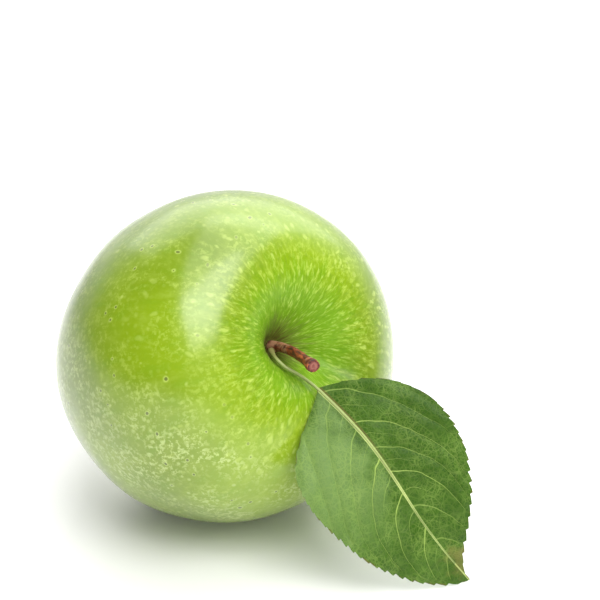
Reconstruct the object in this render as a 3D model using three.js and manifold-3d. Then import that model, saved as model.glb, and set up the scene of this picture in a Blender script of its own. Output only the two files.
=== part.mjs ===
// A green apple as picked: the fruit, its woody stem, the one leaf that came away with it, and the
// dried sepals and stamens of the flower at the far end of the core.
//
// Units are millimetres and +Z is up. The origin is the middle of the flat spot that the fruit lies
// on. The fruit lies on its side, so the stem's end of the core looks forward (-Y), right and up.
import * as THREE from "three";
import { mergeVertices } from "three/addons/utils/BufferGeometryUtils.js";
import loadManifold from "manifold-3d";

const degrees = THREE.MathUtils.degToRad;

// ---------------------------------------------------------------- driving dimensions

// The core: its middle, the heading of its stem end to the right of -Y, and how far that end is raised.
const CORE_CENTRE = new THREE.Vector3(1.13, 0.48, 37.92);
const CORE_HEADING = degrees(40.4);
const CORE_RISE = degrees(25.7);

// The fruit's body, measured from the middle of the core.
const BELLY_RADIUS = 39.6;
const BELLY_ROUNDNESS = 0.88; // below 1 the sides are fuller than a sphere's
const STEM_HALF_HEIGHT = 36;
const CALYX_HALF_HEIGHT = 37;
const STEM_HALF_ROUNDNESS = 0.88;
const CALYX_HALF_ROUNDNESS = 0.9;
const SHOULDER_TAPER = 0.04; // the stem half is this much wider, and the calyx half narrower
const OVAL = { amount: 0.018, azimuth: 0.2 };
const LOBES = { count: 5, amount: 0.012, azimuth: 0.4 };
const RESTING_BLOCK = 60; // side of the block that cuts the flat spot

// The hollows at both ends of the core. Each ends in a flat floor, where the stem or the calyx stands.
const STEM_CAVITY = { depth: 19.5, width: 9.5, sharpness: 1.2, floorRadius: 1.75 };
const CALYX_BASIN = { depth: 12, width: 8.5, sharpness: 1.4, floorRadius: 3.4 };
const RIM_GROOVE = { depth: 3, azimuth: degrees(312), spread: degrees(26), radius: 13, reach: 8 };
const RIM_LIP = { height: 1.6, azimuth: degrees(245), spread: degrees(55), radius: 12, reach: 6 };

// Pieces that stand on the fruit keep this gap to it.
const GAP = 0.3;

// The stem: it stands on the cavity's floor and leans out over the rim. Points are in the core's frame.
const STEM_RADIUS = 1.12;
const STEM_FOOT_FLARE = { amount: 0.33, reach: 0.1 };
const STEM_KNOB = { amount: 0.36, reach: 0.13 };
const STEM_LEAN = [new THREE.Vector3(0.2, -0.7, 25.7), new THREE.Vector3(-2, -3.3, 31.5)];
const STEM_END = new THREE.Vector3(-4.8, -5.7, 39.2);

// The leaf: its stalk climbs the cavity's wall, then the blade hangs from the shoulder to the ground.
const STALK_RADIUS = 0.5;
const STALK_LIFT = 1.05; // from the skin to the middle of the stalk
const STALK_ROUTE = [ // distance from the core's line, and azimuth about it
  [3.6, degrees(196)],
  [5.6, degrees(214)],
  [6.7, degrees(233)],
  [7.6, degrees(247)],
  [9.2, degrees(258)],
];
const BLADE_BASE = new THREE.Vector3(22.8, -26.4, 42);
const BLADE_TIP = new THREE.Vector3(57.1, -39.3, 0.6);
const BLADE_ROLL = degrees(51.7); // its left-to-right line leans up from level by this
const BLADE_THICKNESS = 0.5;
const BLADE_ARCH = 6; // the middle stands this far out from the line between base and tip
const BLADE_FOLD = 0.12; // the two halves rise from the midrib at this slope
const BLADE_FOLD_RADIUS = 1.4;
const MIDRIB_BEND = 0.9;
const MIDRIB_END = { at: 0.88, radius: 0.25 };
const MIDRIB_SINK = 0.3; // the midrib stands out below the blade
const MIDRIB_POINTS = 5;
const RIGHT_HALF = { width: 19.4, base: 0.13, baseSharpness: 0.92, tip: 5, tipSharpness: 2.3 };
const LEFT_HALF = { width: 20.9, base: 0.128, baseSharpness: 1.4, tip: 2.43, tipSharpness: 0.75 };
const LEAST_HALF_WIDTH = 0.25;
const TEETH = { count: 27, depth: 0.45, peak: 0.7 };

// The calyx: five sepals round a tuft of stamens, standing on the basin's floor.
const SEPAL_COUNT = 5;
const SEPAL_CURL = [[2.8, 0], [1.2, 3.4], [4.8, 4.4]]; // distance from the core's line, and height
const SEPAL_HALF_WIDTH = 1.45;
const SEPAL_TAPER = 1.6;
const SEPAL_THICKNESS = 0.4;
const SEPAL_TIP = 0.15; // half the width that is left at the point
const SEPAL_TWIST = 0.25; // how far the tip leans round the calyx
const TUFT_RADIUS = 1.3;
const TUFT_HEIGHT = 1.0;
const STAMENS = { count: 7, ring: 0.8, radius: 0.2, height: 3.4, lean: degrees(9) };

// Facets.
const FRUIT_SEGMENTS = { around: 64, along: 56, gathering: 0.48 };
const STEM_SEGMENTS = { around: 12, along: 16 };
const STALK_SEGMENTS = { around: 8, along: 48 };
const BLADE_COLUMNS = 10;
const SEPAL_SEGMENTS = { across: 4, along: 8 };

// ---------------------------------------------------------------- shared helpers

const wasm = await loadManifold();
wasm.setup();

const bell = (distance, reach) => Math.exp(-((distance / reach) ** 2));

/** The smallest turn from one angle to another. */
function turnBetween(a, b) {
  return Math.atan2(Math.sin(a - b), Math.cos(a - b));
}

/** Merges the vertices that meet, so that the geometry is one closed surface. */
function weld(geometry) {
  geometry.deleteAttribute("normal");
  geometry.deleteAttribute("uv");
  return mergeVertices(geometry);
}

/** Moves every vertex of a blank to the point that place(vertex, target, u, v) sets, and welds it. */
function reshape(blank, place) {
  const { position, uv } = blank.attributes;
  const vertex = new THREE.Vector3();
  const target = new THREE.Vector3();
  for (let i = 0; i < position.count; i += 1) {
    vertex.fromBufferAttribute(position, i);
    place(vertex, target, uv.getX(i), uv.getY(i));
    position.setXYZ(i, target.x, target.y, target.z);
  }
  return weld(blank);
}

/** A closed geometry as a solid that can be joined and cut. */
function toSolid(geometry) {
  return new wasm.Manifold(new wasm.Mesh({
    numProp: 3,
    vertProperties: geometry.attributes.position.array,
    triVerts: new Uint32Array(geometry.index.array),
  }));
}

/** A solid as a geometry. */
function toGeometry(solid) {
  const mesh = solid.getMesh();
  const geometry = new THREE.BufferGeometry();
  geometry.setAttribute("position", new THREE.BufferAttribute(new Float32Array(mesh.vertProperties), 3));
  geometry.setIndex(new THREE.BufferAttribute(new Uint32Array(mesh.triVerts), 1));
  return geometry;
}

/** A round bar along a curve, whose radius changes as radiusAt(fraction of its length). */
function bar(curve, radiusAt, segments) {
  const frames = curve.computeFrenetFrames(segments.along);
  const blank = new THREE.CylinderGeometry(1, 1, 1, segments.around, segments.along);
  return reshape(blank, (vertex, target) => {
    const t = vertex.y + 0.5;
    const step = Math.round(t * segments.along);
    const radius = radiusAt(t);
    target.copy(curve.getPointAt(t));
    target.addScaledVector(frames.binormals[step], vertex.x * radius);
    target.addScaledVector(frames.normals[step], vertex.z * radius);
  });
}

/** A named mesh in its own plain colour. */
function piece(name, geometry, colour, roughness) {
  geometry.computeVertexNormals();
  const material = new THREE.MeshStandardMaterial({ color: colour, roughness, metalness: 0 });
  const mesh = new THREE.Mesh(geometry, material);
  mesh.name = name;
  return mesh;
}

// ---------------------------------------------------------------- the fruit

/** The core's own frame: +Z runs along the core to the stem, and X stays level. */
function coreFrame() {
  const towardsStem = new THREE.Vector3(
    Math.cos(CORE_RISE) * Math.sin(CORE_HEADING),
    -Math.cos(CORE_RISE) * Math.cos(CORE_HEADING),
    Math.sin(CORE_RISE),
  );
  const level = new THREE.Vector3(0, 0, 1).cross(towardsStem).normalize();
  const across = towardsStem.clone().cross(level);
  return new THREE.Matrix4().makeBasis(level, across, towardsStem).setPosition(CORE_CENTRE);
}

/** How far a hollow's surface is sunk at a distance from the core's line. */
function hollowDepth(hollow, distance) {
  const clear = Math.max(distance, hollow.floorRadius);
  return hollow.depth * Math.exp(-((clear / hollow.width) ** hollow.sharpness));
}

/** A raised or sunk patch on the rim of the stem cavity, from 0 to 1. */
function rimPatch(patch, distance, azimuth) {
  const foot = THREE.MathUtils.clamp((distance - STEM_CAVITY.floorRadius) / 4, 0, 1);
  return foot * bell(turnBetween(azimuth, patch.azimuth), patch.spread)
    * bell(distance - patch.radius, patch.reach);
}

/** The skin, in the core's frame. The polar angle runs from 0 at the stem to pi at the calyx. */
function skinPoint(polar, azimuth, target = new THREE.Vector3()) {
  const cos = Math.cos(polar);
  const distance = BELLY_RADIUS * Math.abs(Math.sin(polar)) ** BELLY_ROUNDNESS * (1 + SHOULDER_TAPER * cos);
  let height = 0;
  if (cos > 0) {
    height = STEM_HALF_HEIGHT * cos ** STEM_HALF_ROUNDNESS - hollowDepth(STEM_CAVITY, distance);
    height -= RIM_GROOVE.depth * rimPatch(RIM_GROOVE, distance, azimuth);
    height += RIM_LIP.height * rimPatch(RIM_LIP, distance, azimuth);
  } else {
    height = -CALYX_HALF_HEIGHT * Math.abs(cos) ** CALYX_HALF_ROUNDNESS;
    height += hollowDepth(CALYX_BASIN, distance);
  }
  const lobeStrength = 0.35 + (cos > 0 ? 0.6 : 1.6) * cos ** 2;
  const unround = OVAL.amount * Math.cos(2 * (azimuth - OVAL.azimuth))
    + LOBES.amount * lobeStrength * Math.cos(LOBES.count * (azimuth - LOBES.azimuth));
  const radius = distance * (1 + unround * Math.min(distance / 8, 1));
  return target.set(radius * Math.cos(azimuth), radius * Math.sin(azimuth), height);
}

/** The point that stands a height above the cavity's wall, at a distance from the core's line. */
function aboveWall(distance, azimuth, lift) {
  const topRadius = BELLY_RADIUS * (1 + SHOULDER_TAPER);
  const polar = Math.asin((distance / topRadius) ** (1 / BELLY_ROUNDNESS));
  const step = 1e-3;
  const point = skinPoint(polar, azimuth);
  const outward = skinPoint(polar + step, azimuth).sub(point);
  const around = skinPoint(polar, azimuth + step).sub(point);
  return point.addScaledVector(outward.cross(around).normalize(), lift);
}

/** The fruit in the core's frame, with the flat spot cut where it meets the ground. */
function fruitGeometry(core) {
  const blank = new THREE.SphereGeometry(1, FRUIT_SEGMENTS.around, FRUIT_SEGMENTS.along);
  const skin = reshape(blank, (vertex, target, u, v) => {
    const row = 1 - v;
    const gathered = row - (FRUIT_SEGMENTS.gathering / (2 * Math.PI)) * Math.sin(2 * Math.PI * row);
    skinPoint(Math.PI * gathered, 2 * Math.PI * (u % 1), target);
  });
  const block = new THREE.BoxGeometry(RESTING_BLOCK, RESTING_BLOCK, RESTING_BLOCK);
  block.translate(0, 0, -RESTING_BLOCK / 2);
  block.applyMatrix4(core.clone().invert());
  return toGeometry(toSolid(skin).subtract(toSolid(weld(block))));
}

// ---------------------------------------------------------------- the stem

/** The stem, flared where it leaves the fruit and knobbed where it came off the branch. */
function stemGeometry() {
  const foot = skinPoint(0, 0).add(new THREE.Vector3(0, 0, GAP));
  const line = new THREE.CubicBezierCurve3(foot, ...STEM_LEAN, STEM_END);
  const radiusAt = (t) => STEM_RADIUS
    + STEM_FOOT_FLARE.amount * bell(t, STEM_FOOT_FLARE.reach)
    + STEM_KNOB.amount * bell(1 - t, STEM_KNOB.reach);
  return bar(line, radiusAt, STEM_SEGMENTS);
}

// ---------------------------------------------------------------- the leaf

/** The blade's own directions: along it from base to tip, across it to the right, and off its face. */
function bladeAxes() {
  const span = BLADE_TIP.clone().sub(BLADE_BASE);
  const along = span.clone().normalize();
  const level = new THREE.Vector3(0, 0, 1).cross(along).normalize();
  const up = along.clone().cross(level);
  const across = level.multiplyScalar(Math.cos(BLADE_ROLL)).addScaledVector(up, Math.sin(BLADE_ROLL));
  return { length: span.length(), along, across, face: along.clone().cross(across) };
}

const BLADE = bladeAxes();

/** Half the blade's width at a fraction of its length: round at the base and drawn out at the tip. */
function halfWidth(half, t) {
  const base = 1 - Math.exp(-((t / half.base) ** half.baseSharpness));
  return half.width * base * (1 - t ** half.tip) ** half.tipSharpness;
}

/** A point of the blade: t along it, s from -1 at the left edge to 1 at the right, lift off its face. */
function bladePoint(t, s, lift, notch = 0, target = new THREE.Vector3()) {
  const half = halfWidth(s < 0 ? LEFT_HALF : RIGHT_HALF, t) - notch;
  const side = s * Math.max(half, LEAST_HALF_WIDTH);
  const fold = BLADE_FOLD * (Math.hypot(side, BLADE_FOLD_RADIUS) - BLADE_FOLD_RADIUS);
  return target.copy(BLADE_BASE)
    .addScaledVector(BLADE.along, t * BLADE.length)
    .addScaledVector(BLADE.across, side + MIDRIB_BEND * Math.sin(2 * Math.PI * t))
    .addScaledVector(BLADE.face, BLADE_ARCH * 4 * t * (1 - t) + fold + lift);
}

/** The blade with its saw-toothed edge: one row of points in each notch and one on each tooth. */
function bladeGeometry() {
  const rows = 2 * TEETH.count;
  const blank = new THREE.BoxGeometry(2, 1, 1, BLADE_COLUMNS, rows, 1);
  return reshape(blank, (vertex, target) => {
    const row = Math.round((vertex.y + 0.5) * rows);
    const onTooth = row % 2 === 1;
    const t = (Math.floor(row / 2) + (onTooth ? TEETH.peak : 0)) / TEETH.count;
    const notch = onTooth ? 0 : TEETH.depth;
    bladePoint(t, vertex.x, -vertex.z * BLADE_THICKNESS, notch, target);
  });
}

/** The stalk and the midrib, one tapering bar from the foot of the stem to near the leaf's tip. */
function stalkGeometry(core) {
  const route = STALK_ROUTE.map(([distance, azimuth]) => aboveWall(distance, azimuth, STALK_LIFT));
  route.forEach((point) => point.applyMatrix4(core));
  for (let i = 0; i <= MIDRIB_POINTS; i += 1) {
    route.push(bladePoint((MIDRIB_END.at * i) / MIDRIB_POINTS, 0, -MIDRIB_SINK));
  }
  const line = new THREE.CatmullRomCurve3(route);
  const radiusAt = (t) => THREE.MathUtils.lerp(STALK_RADIUS, MIDRIB_END.radius, t);
  return bar(line, radiusAt, STALK_SEGMENTS);
}

/** The whole leaf: the blade joined to its stalk and midrib. */
function leafGeometry(core) {
  return toGeometry(toSolid(bladeGeometry()).add(toSolid(stalkGeometry(core))));
}

// ---------------------------------------------------------------- the calyx

/** One dried sepal, pointed and curled back, standing off the basin's floor towards -Z. */
function sepalGeometry(azimuth) {
  const floor = skinPoint(Math.PI, 0).z - GAP;
  const curl = new THREE.QuadraticBezierCurve(...SEPAL_CURL.map(([x, y]) => new THREE.Vector2(x, y)));
  const blank = new THREE.BoxGeometry(2, 1, 1, SEPAL_SEGMENTS.across, SEPAL_SEGMENTS.along, 1);
  return reshape(blank, (vertex, target) => {
    const t = vertex.y + 0.5;
    const middle = curl.getPoint(t);
    const slope = curl.getTangent(t);
    const out = vertex.z * SEPAL_THICKNESS;
    const side = vertex.x * Math.max(SEPAL_HALF_WIDTH * (1 - t ** SEPAL_TAPER), SEPAL_TIP);
    const distance = middle.x + out * slope.y;
    const height = middle.y - out * slope.x;
    const turn = azimuth + SEPAL_TWIST * t ** 2;
    target.set(
      distance * Math.cos(turn) + side * Math.sin(turn),
      distance * Math.sin(turn) - side * Math.cos(turn),
      floor - height,
    );
  });
}

/** The dried stamens: thin threads on a common foot in the middle of the calyx. */
function stamenGeometry() {
  const floor = skinPoint(Math.PI, 0).z - GAP;
  const foot = new THREE.CylinderGeometry(TUFT_RADIUS, TUFT_RADIUS, TUFT_HEIGHT, 12);
  foot.rotateX(-Math.PI / 2).translate(0, 0, floor - TUFT_HEIGHT / 2);
  let tuft = toSolid(weld(foot));
  for (let i = 0; i < STAMENS.count; i += 1) {
    const turn = (2 * Math.PI * i) / STAMENS.count;
    const thread = new THREE.CylinderGeometry(STAMENS.radius, STAMENS.radius, STAMENS.height, 6);
    thread.rotateX(-Math.PI / 2).translate(0, 0, -STAMENS.height / 2 - TUFT_HEIGHT / 2);
    thread.rotateY(-STAMENS.lean).rotateZ(turn);
    thread.translate(STAMENS.ring * Math.cos(turn), STAMENS.ring * Math.sin(turn), floor);
    tuft = tuft.add(toSolid(weld(thread)));
  }
  return toGeometry(tuft);
}

// ---------------------------------------------------------------- the apple

function buildApple() {
  const apple = new THREE.Group();
  const core = coreFrame();
  const upright = new THREE.Group();
  upright.applyMatrix4(core);
  upright.add(piece("fruit", fruitGeometry(core), 0x8fbf26, 0.35));
  upright.add(piece("stem", stemGeometry(), 0x6e3a24, 0.65));
  for (let i = 0; i < SEPAL_COUNT; i += 1) {
    const azimuth = (2 * Math.PI * i) / SEPAL_COUNT;
    upright.add(piece(`sepal_${i + 1}`, sepalGeometry(azimuth), 0x7a6440, 0.85));
  }
  upright.add(piece("stamens", stamenGeometry(), 0x4a3320, 0.9));
  apple.add(upright);
  apple.add(piece("leaf", leafGeometry(core), 0x3d6b2c, 0.5));
  return apple;
}

export default buildApple();
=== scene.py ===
"""The looks of a green apple as picked, with its stem, one leaf and the dried calyx.

The fruit lies on its side on a white table. Every shape is a formula on a grid, worked out in
millimetres about the fruit's core and then placed in the part's own frame in metres.
"""

import logging
import math
from collections.abc import Mapping
from dataclasses import dataclass, field
from enum import Enum

import bpy
import numpy as np
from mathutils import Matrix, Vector


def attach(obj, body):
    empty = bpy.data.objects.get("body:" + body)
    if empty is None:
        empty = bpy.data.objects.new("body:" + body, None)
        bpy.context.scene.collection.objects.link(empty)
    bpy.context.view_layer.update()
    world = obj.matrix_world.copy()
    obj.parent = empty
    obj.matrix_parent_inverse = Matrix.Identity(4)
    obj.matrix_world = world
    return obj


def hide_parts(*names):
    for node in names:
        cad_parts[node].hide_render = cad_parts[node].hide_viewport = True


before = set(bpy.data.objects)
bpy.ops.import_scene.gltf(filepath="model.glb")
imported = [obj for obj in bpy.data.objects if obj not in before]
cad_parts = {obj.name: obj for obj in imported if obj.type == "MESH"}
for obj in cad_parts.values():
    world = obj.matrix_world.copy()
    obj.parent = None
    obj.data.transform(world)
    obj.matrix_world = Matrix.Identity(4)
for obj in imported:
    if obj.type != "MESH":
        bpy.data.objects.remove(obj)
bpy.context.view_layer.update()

log = logging.getLogger("apple")

MM = 0.001
TAU = 2.0 * math.pi
BODY = "root"

Array = np.ndarray
Face = tuple[int, ...]
Pair = tuple[float, float]
Triple = tuple[float, float, float]
Value = float | Triple | bpy.types.NodeSocket


# ------------------------------------------------------------------------------ shared helpers


def bell(distance: Array | float, reach: float) -> Array | float:
    """Returns a bell curve: 1 at no distance, falling off over the reach."""
    return np.exp(-((distance / reach) ** 2))


@dataclass(frozen=True)
class Swelling:
    """A bell-shaped swelling: its height, how far it spreads, and where its middle is."""

    height: float
    spread: float
    middle: float = 0.0

    def over(self, distance: Array) -> Array:
        """Returns what the swelling adds at each distance."""
        return self.height * bell(distance - self.middle, self.spread)


def turn_between(a: Array, b: float) -> Array:
    """Returns the smallest turn from angle b to each angle in a."""
    return np.arctan2(np.sin(a - b), np.cos(a - b))


def angles_round(around: int) -> Array:
    """Returns the angles of evenly spaced points round a ring."""
    return np.linspace(0.0, TAU, around, endpoint=False)


def unit(vectors: Array) -> Array:
    """Returns the vectors at length 1."""
    return vectors / np.linalg.norm(vectors, axis=-1, keepdims=True)


def smooth_step(values: Array, low: float, high: float) -> Array:
    """Returns 0 below low and 1 above high, with a smooth S between them."""
    t = np.clip((values - low) / (high - low), 0.0, 1.0)
    return t * t * (3.0 - 2.0 * t)


def both_faces(upper: Array, lower: Array) -> Array:
    """Returns each row of a sheet's upper face, followed by the lower face's backwards."""
    return np.concatenate([upper, lower[:, ::-1]], axis=1)


def there_and_back(values: Array) -> Array:
    """Returns each row followed by itself backwards, for what both faces of a sheet share."""
    return both_faces(values, values)


def linear(code: str) -> Triple:
    """Turns a screen colour such as "#80a020" into the linear colour that shaders use.

    Args:
        code: The colour as a hash sign and six hex digits.

    Returns:
        The red, green and blue amounts, from 0 to 1.
    """
    channels = [int(code[i : i + 2], 16) / 255.0 for i in (1, 3, 5)]
    straight_part = 0.04045
    return tuple(
        c / 12.92 if c <= straight_part else ((c + 0.055) / 1.055) ** 2.4 for c in channels
    )


def wavelets(points: Array, seed: int, count: int, wavelength: float) -> Array:
    """A smooth random unevenness: the mean of plane waves in random directions.

    Args:
        points: The places to work it out at, in millimetres, as an array of (..., 3).
        seed: The seed of the random directions and phases.
        count: How many waves are added up.
        wavelength: The typical length of a wave, in millimetres.

    Returns:
        One height for each point, mostly between -1 and 1.
    """
    random = np.random.default_rng(seed)
    directions = unit(random.normal(size=(count, 3)))
    shortest, longest = 0.7, 1.5
    numbers = TAU / (wavelength * random.uniform(shortest, longest, count))
    phases = random.uniform(0.0, TAU, count)
    waves = np.sin((points @ directions.T) * numbers + phases)
    return waves.sum(axis=-1) * math.sqrt(2.0 / count) / 2.0


def ring_faces(rings: int, around: int, start: int = 0) -> list[Face]:
    """The four-sided faces between closed rings of points, which are numbered ring by ring.

    Args:
        rings: How many rings of points there are.
        around: How many points each ring has.
        start: The number of the first point.

    Returns:
        The faces, each as the numbers of its corners.
    """
    ring, point = np.meshgrid(np.arange(rings - 1), np.arange(around), indexing="ij")
    here = start + ring * around + point
    beside = start + ring * around + (point + 1) % around
    corners = (here, beside, beside + around, here + around)
    return np.stack(corners, axis=-1).reshape(-1, 4).tolist()


def tube_faces(rings: int, around: int, start: int = 0) -> list[Face]:
    """The faces of a tube, closed by one flat face at each end.

    Args:
        rings: How many rings of points the tube has.
        around: How many points each ring has.
        start: The number of the first point.

    Returns:
        The faces, each as the numbers of its corners.
    """
    first = tuple(range(start, start + around))
    last = tuple(range(start + (rings - 1) * around, start + rings * around))
    return [*ring_faces(rings, around, start), first[::-1], last]


def sheet_faces(rows: int, columns: int) -> list[Face]:
    """The faces of a sheet with a thickness, closed all round.

    Each row of points goes over the sheet along one face and comes back along the other.

    Args:
        rows: How many rows of points there are.
        columns: How many points a row has on each face of the sheet.

    Returns:
        The faces, each as the numbers of its corners.
    """
    wide = 2 * columns
    column = np.arange(columns - 1)
    first = np.stack([column, wide - 1 - column, wide - 2 - column, column + 1], axis=-1)
    last = (first + (rows - 1) * wide)[:, ::-1]
    return ring_faces(rows, wide) + first.tolist() + last.tolist()


def turned(faces: list[Face]) -> list[Face]:
    """Returns the faces with their corners the other way round, so they face the other way."""
    return [face[::-1] for face in faces]


def ball_faces(rings: int, around: int) -> list[Face]:
    """The faces of a ball of rings, closed at each pole by triangles that meet in one point.

    The two poles are numbered after the rings: first the one beside the first ring.

    Args:
        rings: How many rings of points the ball has.
        around: How many points each ring has.

    Returns:
        The faces, each as the numbers of its corners.
    """
    before = np.arange(around)
    after = (before + 1) % around
    last = (rings - 1) * around
    pole = np.full_like(before, rings * around)
    top = np.stack([pole, before, after], axis=-1)
    bottom = np.stack([pole + 1, last + after, last + before], axis=-1)
    return turned(ring_faces(rings, around)) + top.tolist() + bottom.tolist()


def with_poles(values: Array) -> Array:
    """Returns the rows between the poles, then the one value of each pole."""
    between = values[1:-1].reshape(-1, *values.shape[2:])
    return np.concatenate([between, values[[0, -1]].mean(axis=1)])


def carried_rings(path: Array, radius: Array, around: int, start: Triple) -> Array:
    """A tube: rings carried along a path without twisting.

    Each ring lies across the path. Its first direction is the one of the ring before, made
    perpendicular to the path again, so the ring turns as little as it can.

    Args:
        path: The middle of each ring, as an array of (rings, 3).
        radius: The radius at each ring, or at each point of each ring.
        around: How many points each ring has.
        start: The rough direction in which the first ring starts.

    Returns:
        The points, as an array of (rings, around, 3).
    """
    along = unit(np.gradient(path, axis=0))
    first = np.zeros_like(path)
    direction = np.array(start)
    for i, tangent in enumerate(along):
        direction = unit(direction - tangent * (direction @ tangent))
        first[i] = direction
    second = np.cross(along, first)
    angle = angles_round(around)[:, None]
    radius = np.broadcast_to(radius.reshape(len(path), -1), (len(path), around))
    across = first[:, None] * np.cos(angle) + second[:, None] * np.sin(angle)
    return path[:, None] + across * radius[..., None]


def lengths_along(path: Array) -> Array:
    """Returns how far each point of a path is from its start, measured along it."""
    return np.concatenate([[0.0], np.cumsum(np.linalg.norm(np.diff(path, axis=0), axis=1))])


def wound_place(length: Array, around: int, radius: float) -> Array:
    """The coordinate that a tube's finish follows: a straight tube's own points.

    Args:
        length: How far each ring is along the tube.
        around: How many points each ring has.
        radius: The radius of the straight tube.

    Returns:
        The places, as an array of (rings, around, 3).
    """
    angle = angles_round(around)
    x, along = np.meshgrid(radius * np.cos(angle), length)
    y, _ = np.meshgrid(radius * np.sin(angle), length)
    return np.stack([x, y, along], axis=-1)


def bezier(points: list[Triple], t: Array) -> Array:
    """A Bezier curve: the mean of its control points, weighed by Bernstein's polynomials.

    Args:
        points: The control points, three for a quadratic curve and four for a cubic.
        t: Where along the curve, from 0 to 1.

    Returns:
        A point for each t.
    """
    degree = len(points) - 1
    weights = [math.comb(degree, k) * (1.0 - t) ** (degree - k) * t**k for k in range(degree + 1)]
    pairs = zip(weights, points, strict=True)
    return sum(weight[..., None] * np.array(point) for weight, point in pairs)


def through_points(points: Array, t: Array) -> Array:
    """A smooth curve through points: cubic spans whose slopes join each point's neighbours.

    Args:
        points: The points that it passes, as an array of (n, 3).
        t: Where along the curve, from 0 at the first point to 1 at the last.

    Returns:
        A point for each t.
    """
    spans = len(points) - 1
    padded = np.vstack([2 * points[0] - points[1], points, 2 * points[-1] - points[-2]])
    short_of_end = spans - 1e-9
    place = np.clip(t * spans, 0.0, short_of_end)
    index = place.astype(int)
    f = (place - index)[:, None]
    a, b, c, d = (padded[index + k] for k in range(4))
    square = 2 * a - 5 * b + 4 * c - d
    cube = 3 * b - a - 3 * c + d
    return 0.5 * (2 * b + (c - a) * f + square * f**2 + cube * f**3)


def put_in_scene(name: str, data: bpy.types.ID) -> bpy.types.Object:
    """Puts an object in the scene.

    Args:
        name: The object's name.
        data: The mesh, light or camera that it shows.

    Returns:
        The object.
    """
    thing = bpy.data.objects.new(name, data)
    bpy.context.scene.collection.objects.link(thing)
    return thing


@dataclass
class Surface:
    """A mesh under construction: its points in millimetres, its faces and what it carries."""

    name: str
    points: Array
    faces: list[Face]
    numbers: dict[str, Array] = field(default_factory=dict)
    places: dict[str, Array] = field(default_factory=dict)

    def mesh(self) -> bpy.types.Mesh:
        """Makes the mesh, smooth all over, with what its points carry.

        Returns:
            The mesh, in metres.
        """
        mesh = bpy.data.meshes.new(self.name)
        mesh.from_pydata((self.points.reshape(-1, 3) * MM).tolist(), [], self.faces)
        carried = (("FLOAT", "value", self.numbers), ("FLOAT_VECTOR", "vector", self.places))
        for kind, part, arrays in carried:
            for name, values in arrays.items():
                attribute = mesh.attributes.new(name, kind, "POINT")
                attribute.data.foreach_set(part, np.ravel(values).astype(np.float32))
        mesh.polygons.foreach_set("use_smooth", np.ones(len(mesh.polygons), bool))
        mesh.validate()
        mesh.update()
        return mesh

    def build(
        self, material: bpy.types.Material, slot: str, replaces: tuple[str, ...] = ()
    ) -> None:
        """Makes the Blender object, with its place in its mesh, riding on the apple's one body.

        Args:
            material: The finish that it is dressed in.
            slot: The record's material slot that it stands for. It is not used.
            replaces: The CAD nodes that it is shown instead of.
        """
        mesh = self.mesh()
        mesh.materials.append(material)
        piece = put_in_scene(self.name, mesh)
        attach(piece, BODY)
        if replaces:
            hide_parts(*replaces)
        log.info("%s: %d points, %d faces", self.name, len(mesh.vertices), len(mesh.polygons))


# ------------------------------------------------------------------------------ shader building


@dataclass(frozen=True)
class Fade:
    """A smooth S from the start number to the end one, as a value goes from first to last."""

    first: float
    last: float
    end: float = 1.0
    start: float = 0.0


MOST_CLOUDS: Pair = (0.3, 0.7)
MID_CLOUDS: Pair = (0.35, 0.65)
EVEN_MIX = Fade(*MID_CLOUDS)
SOFT_LINE = Fade(1.3, 0.3)


@dataclass(frozen=True)
class DotPattern:
    """A scatter of round dots: the usual gap and radius in millimetres, and how they vary."""

    spacing: float
    radius: float
    spread: float
    keep: float
    disorder: float = 0.9
    edge: Fade = Fade(1.15, 0.45)
    core: Fade = Fade(0.7, 0.4)


@dataclass(frozen=True)
class Dots:
    """Where the dots of a scatter are, and where their middles are, as covers from 0 to 1."""

    cover: bpy.types.NodeSocket
    middle: bpy.types.NodeSocket


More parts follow.
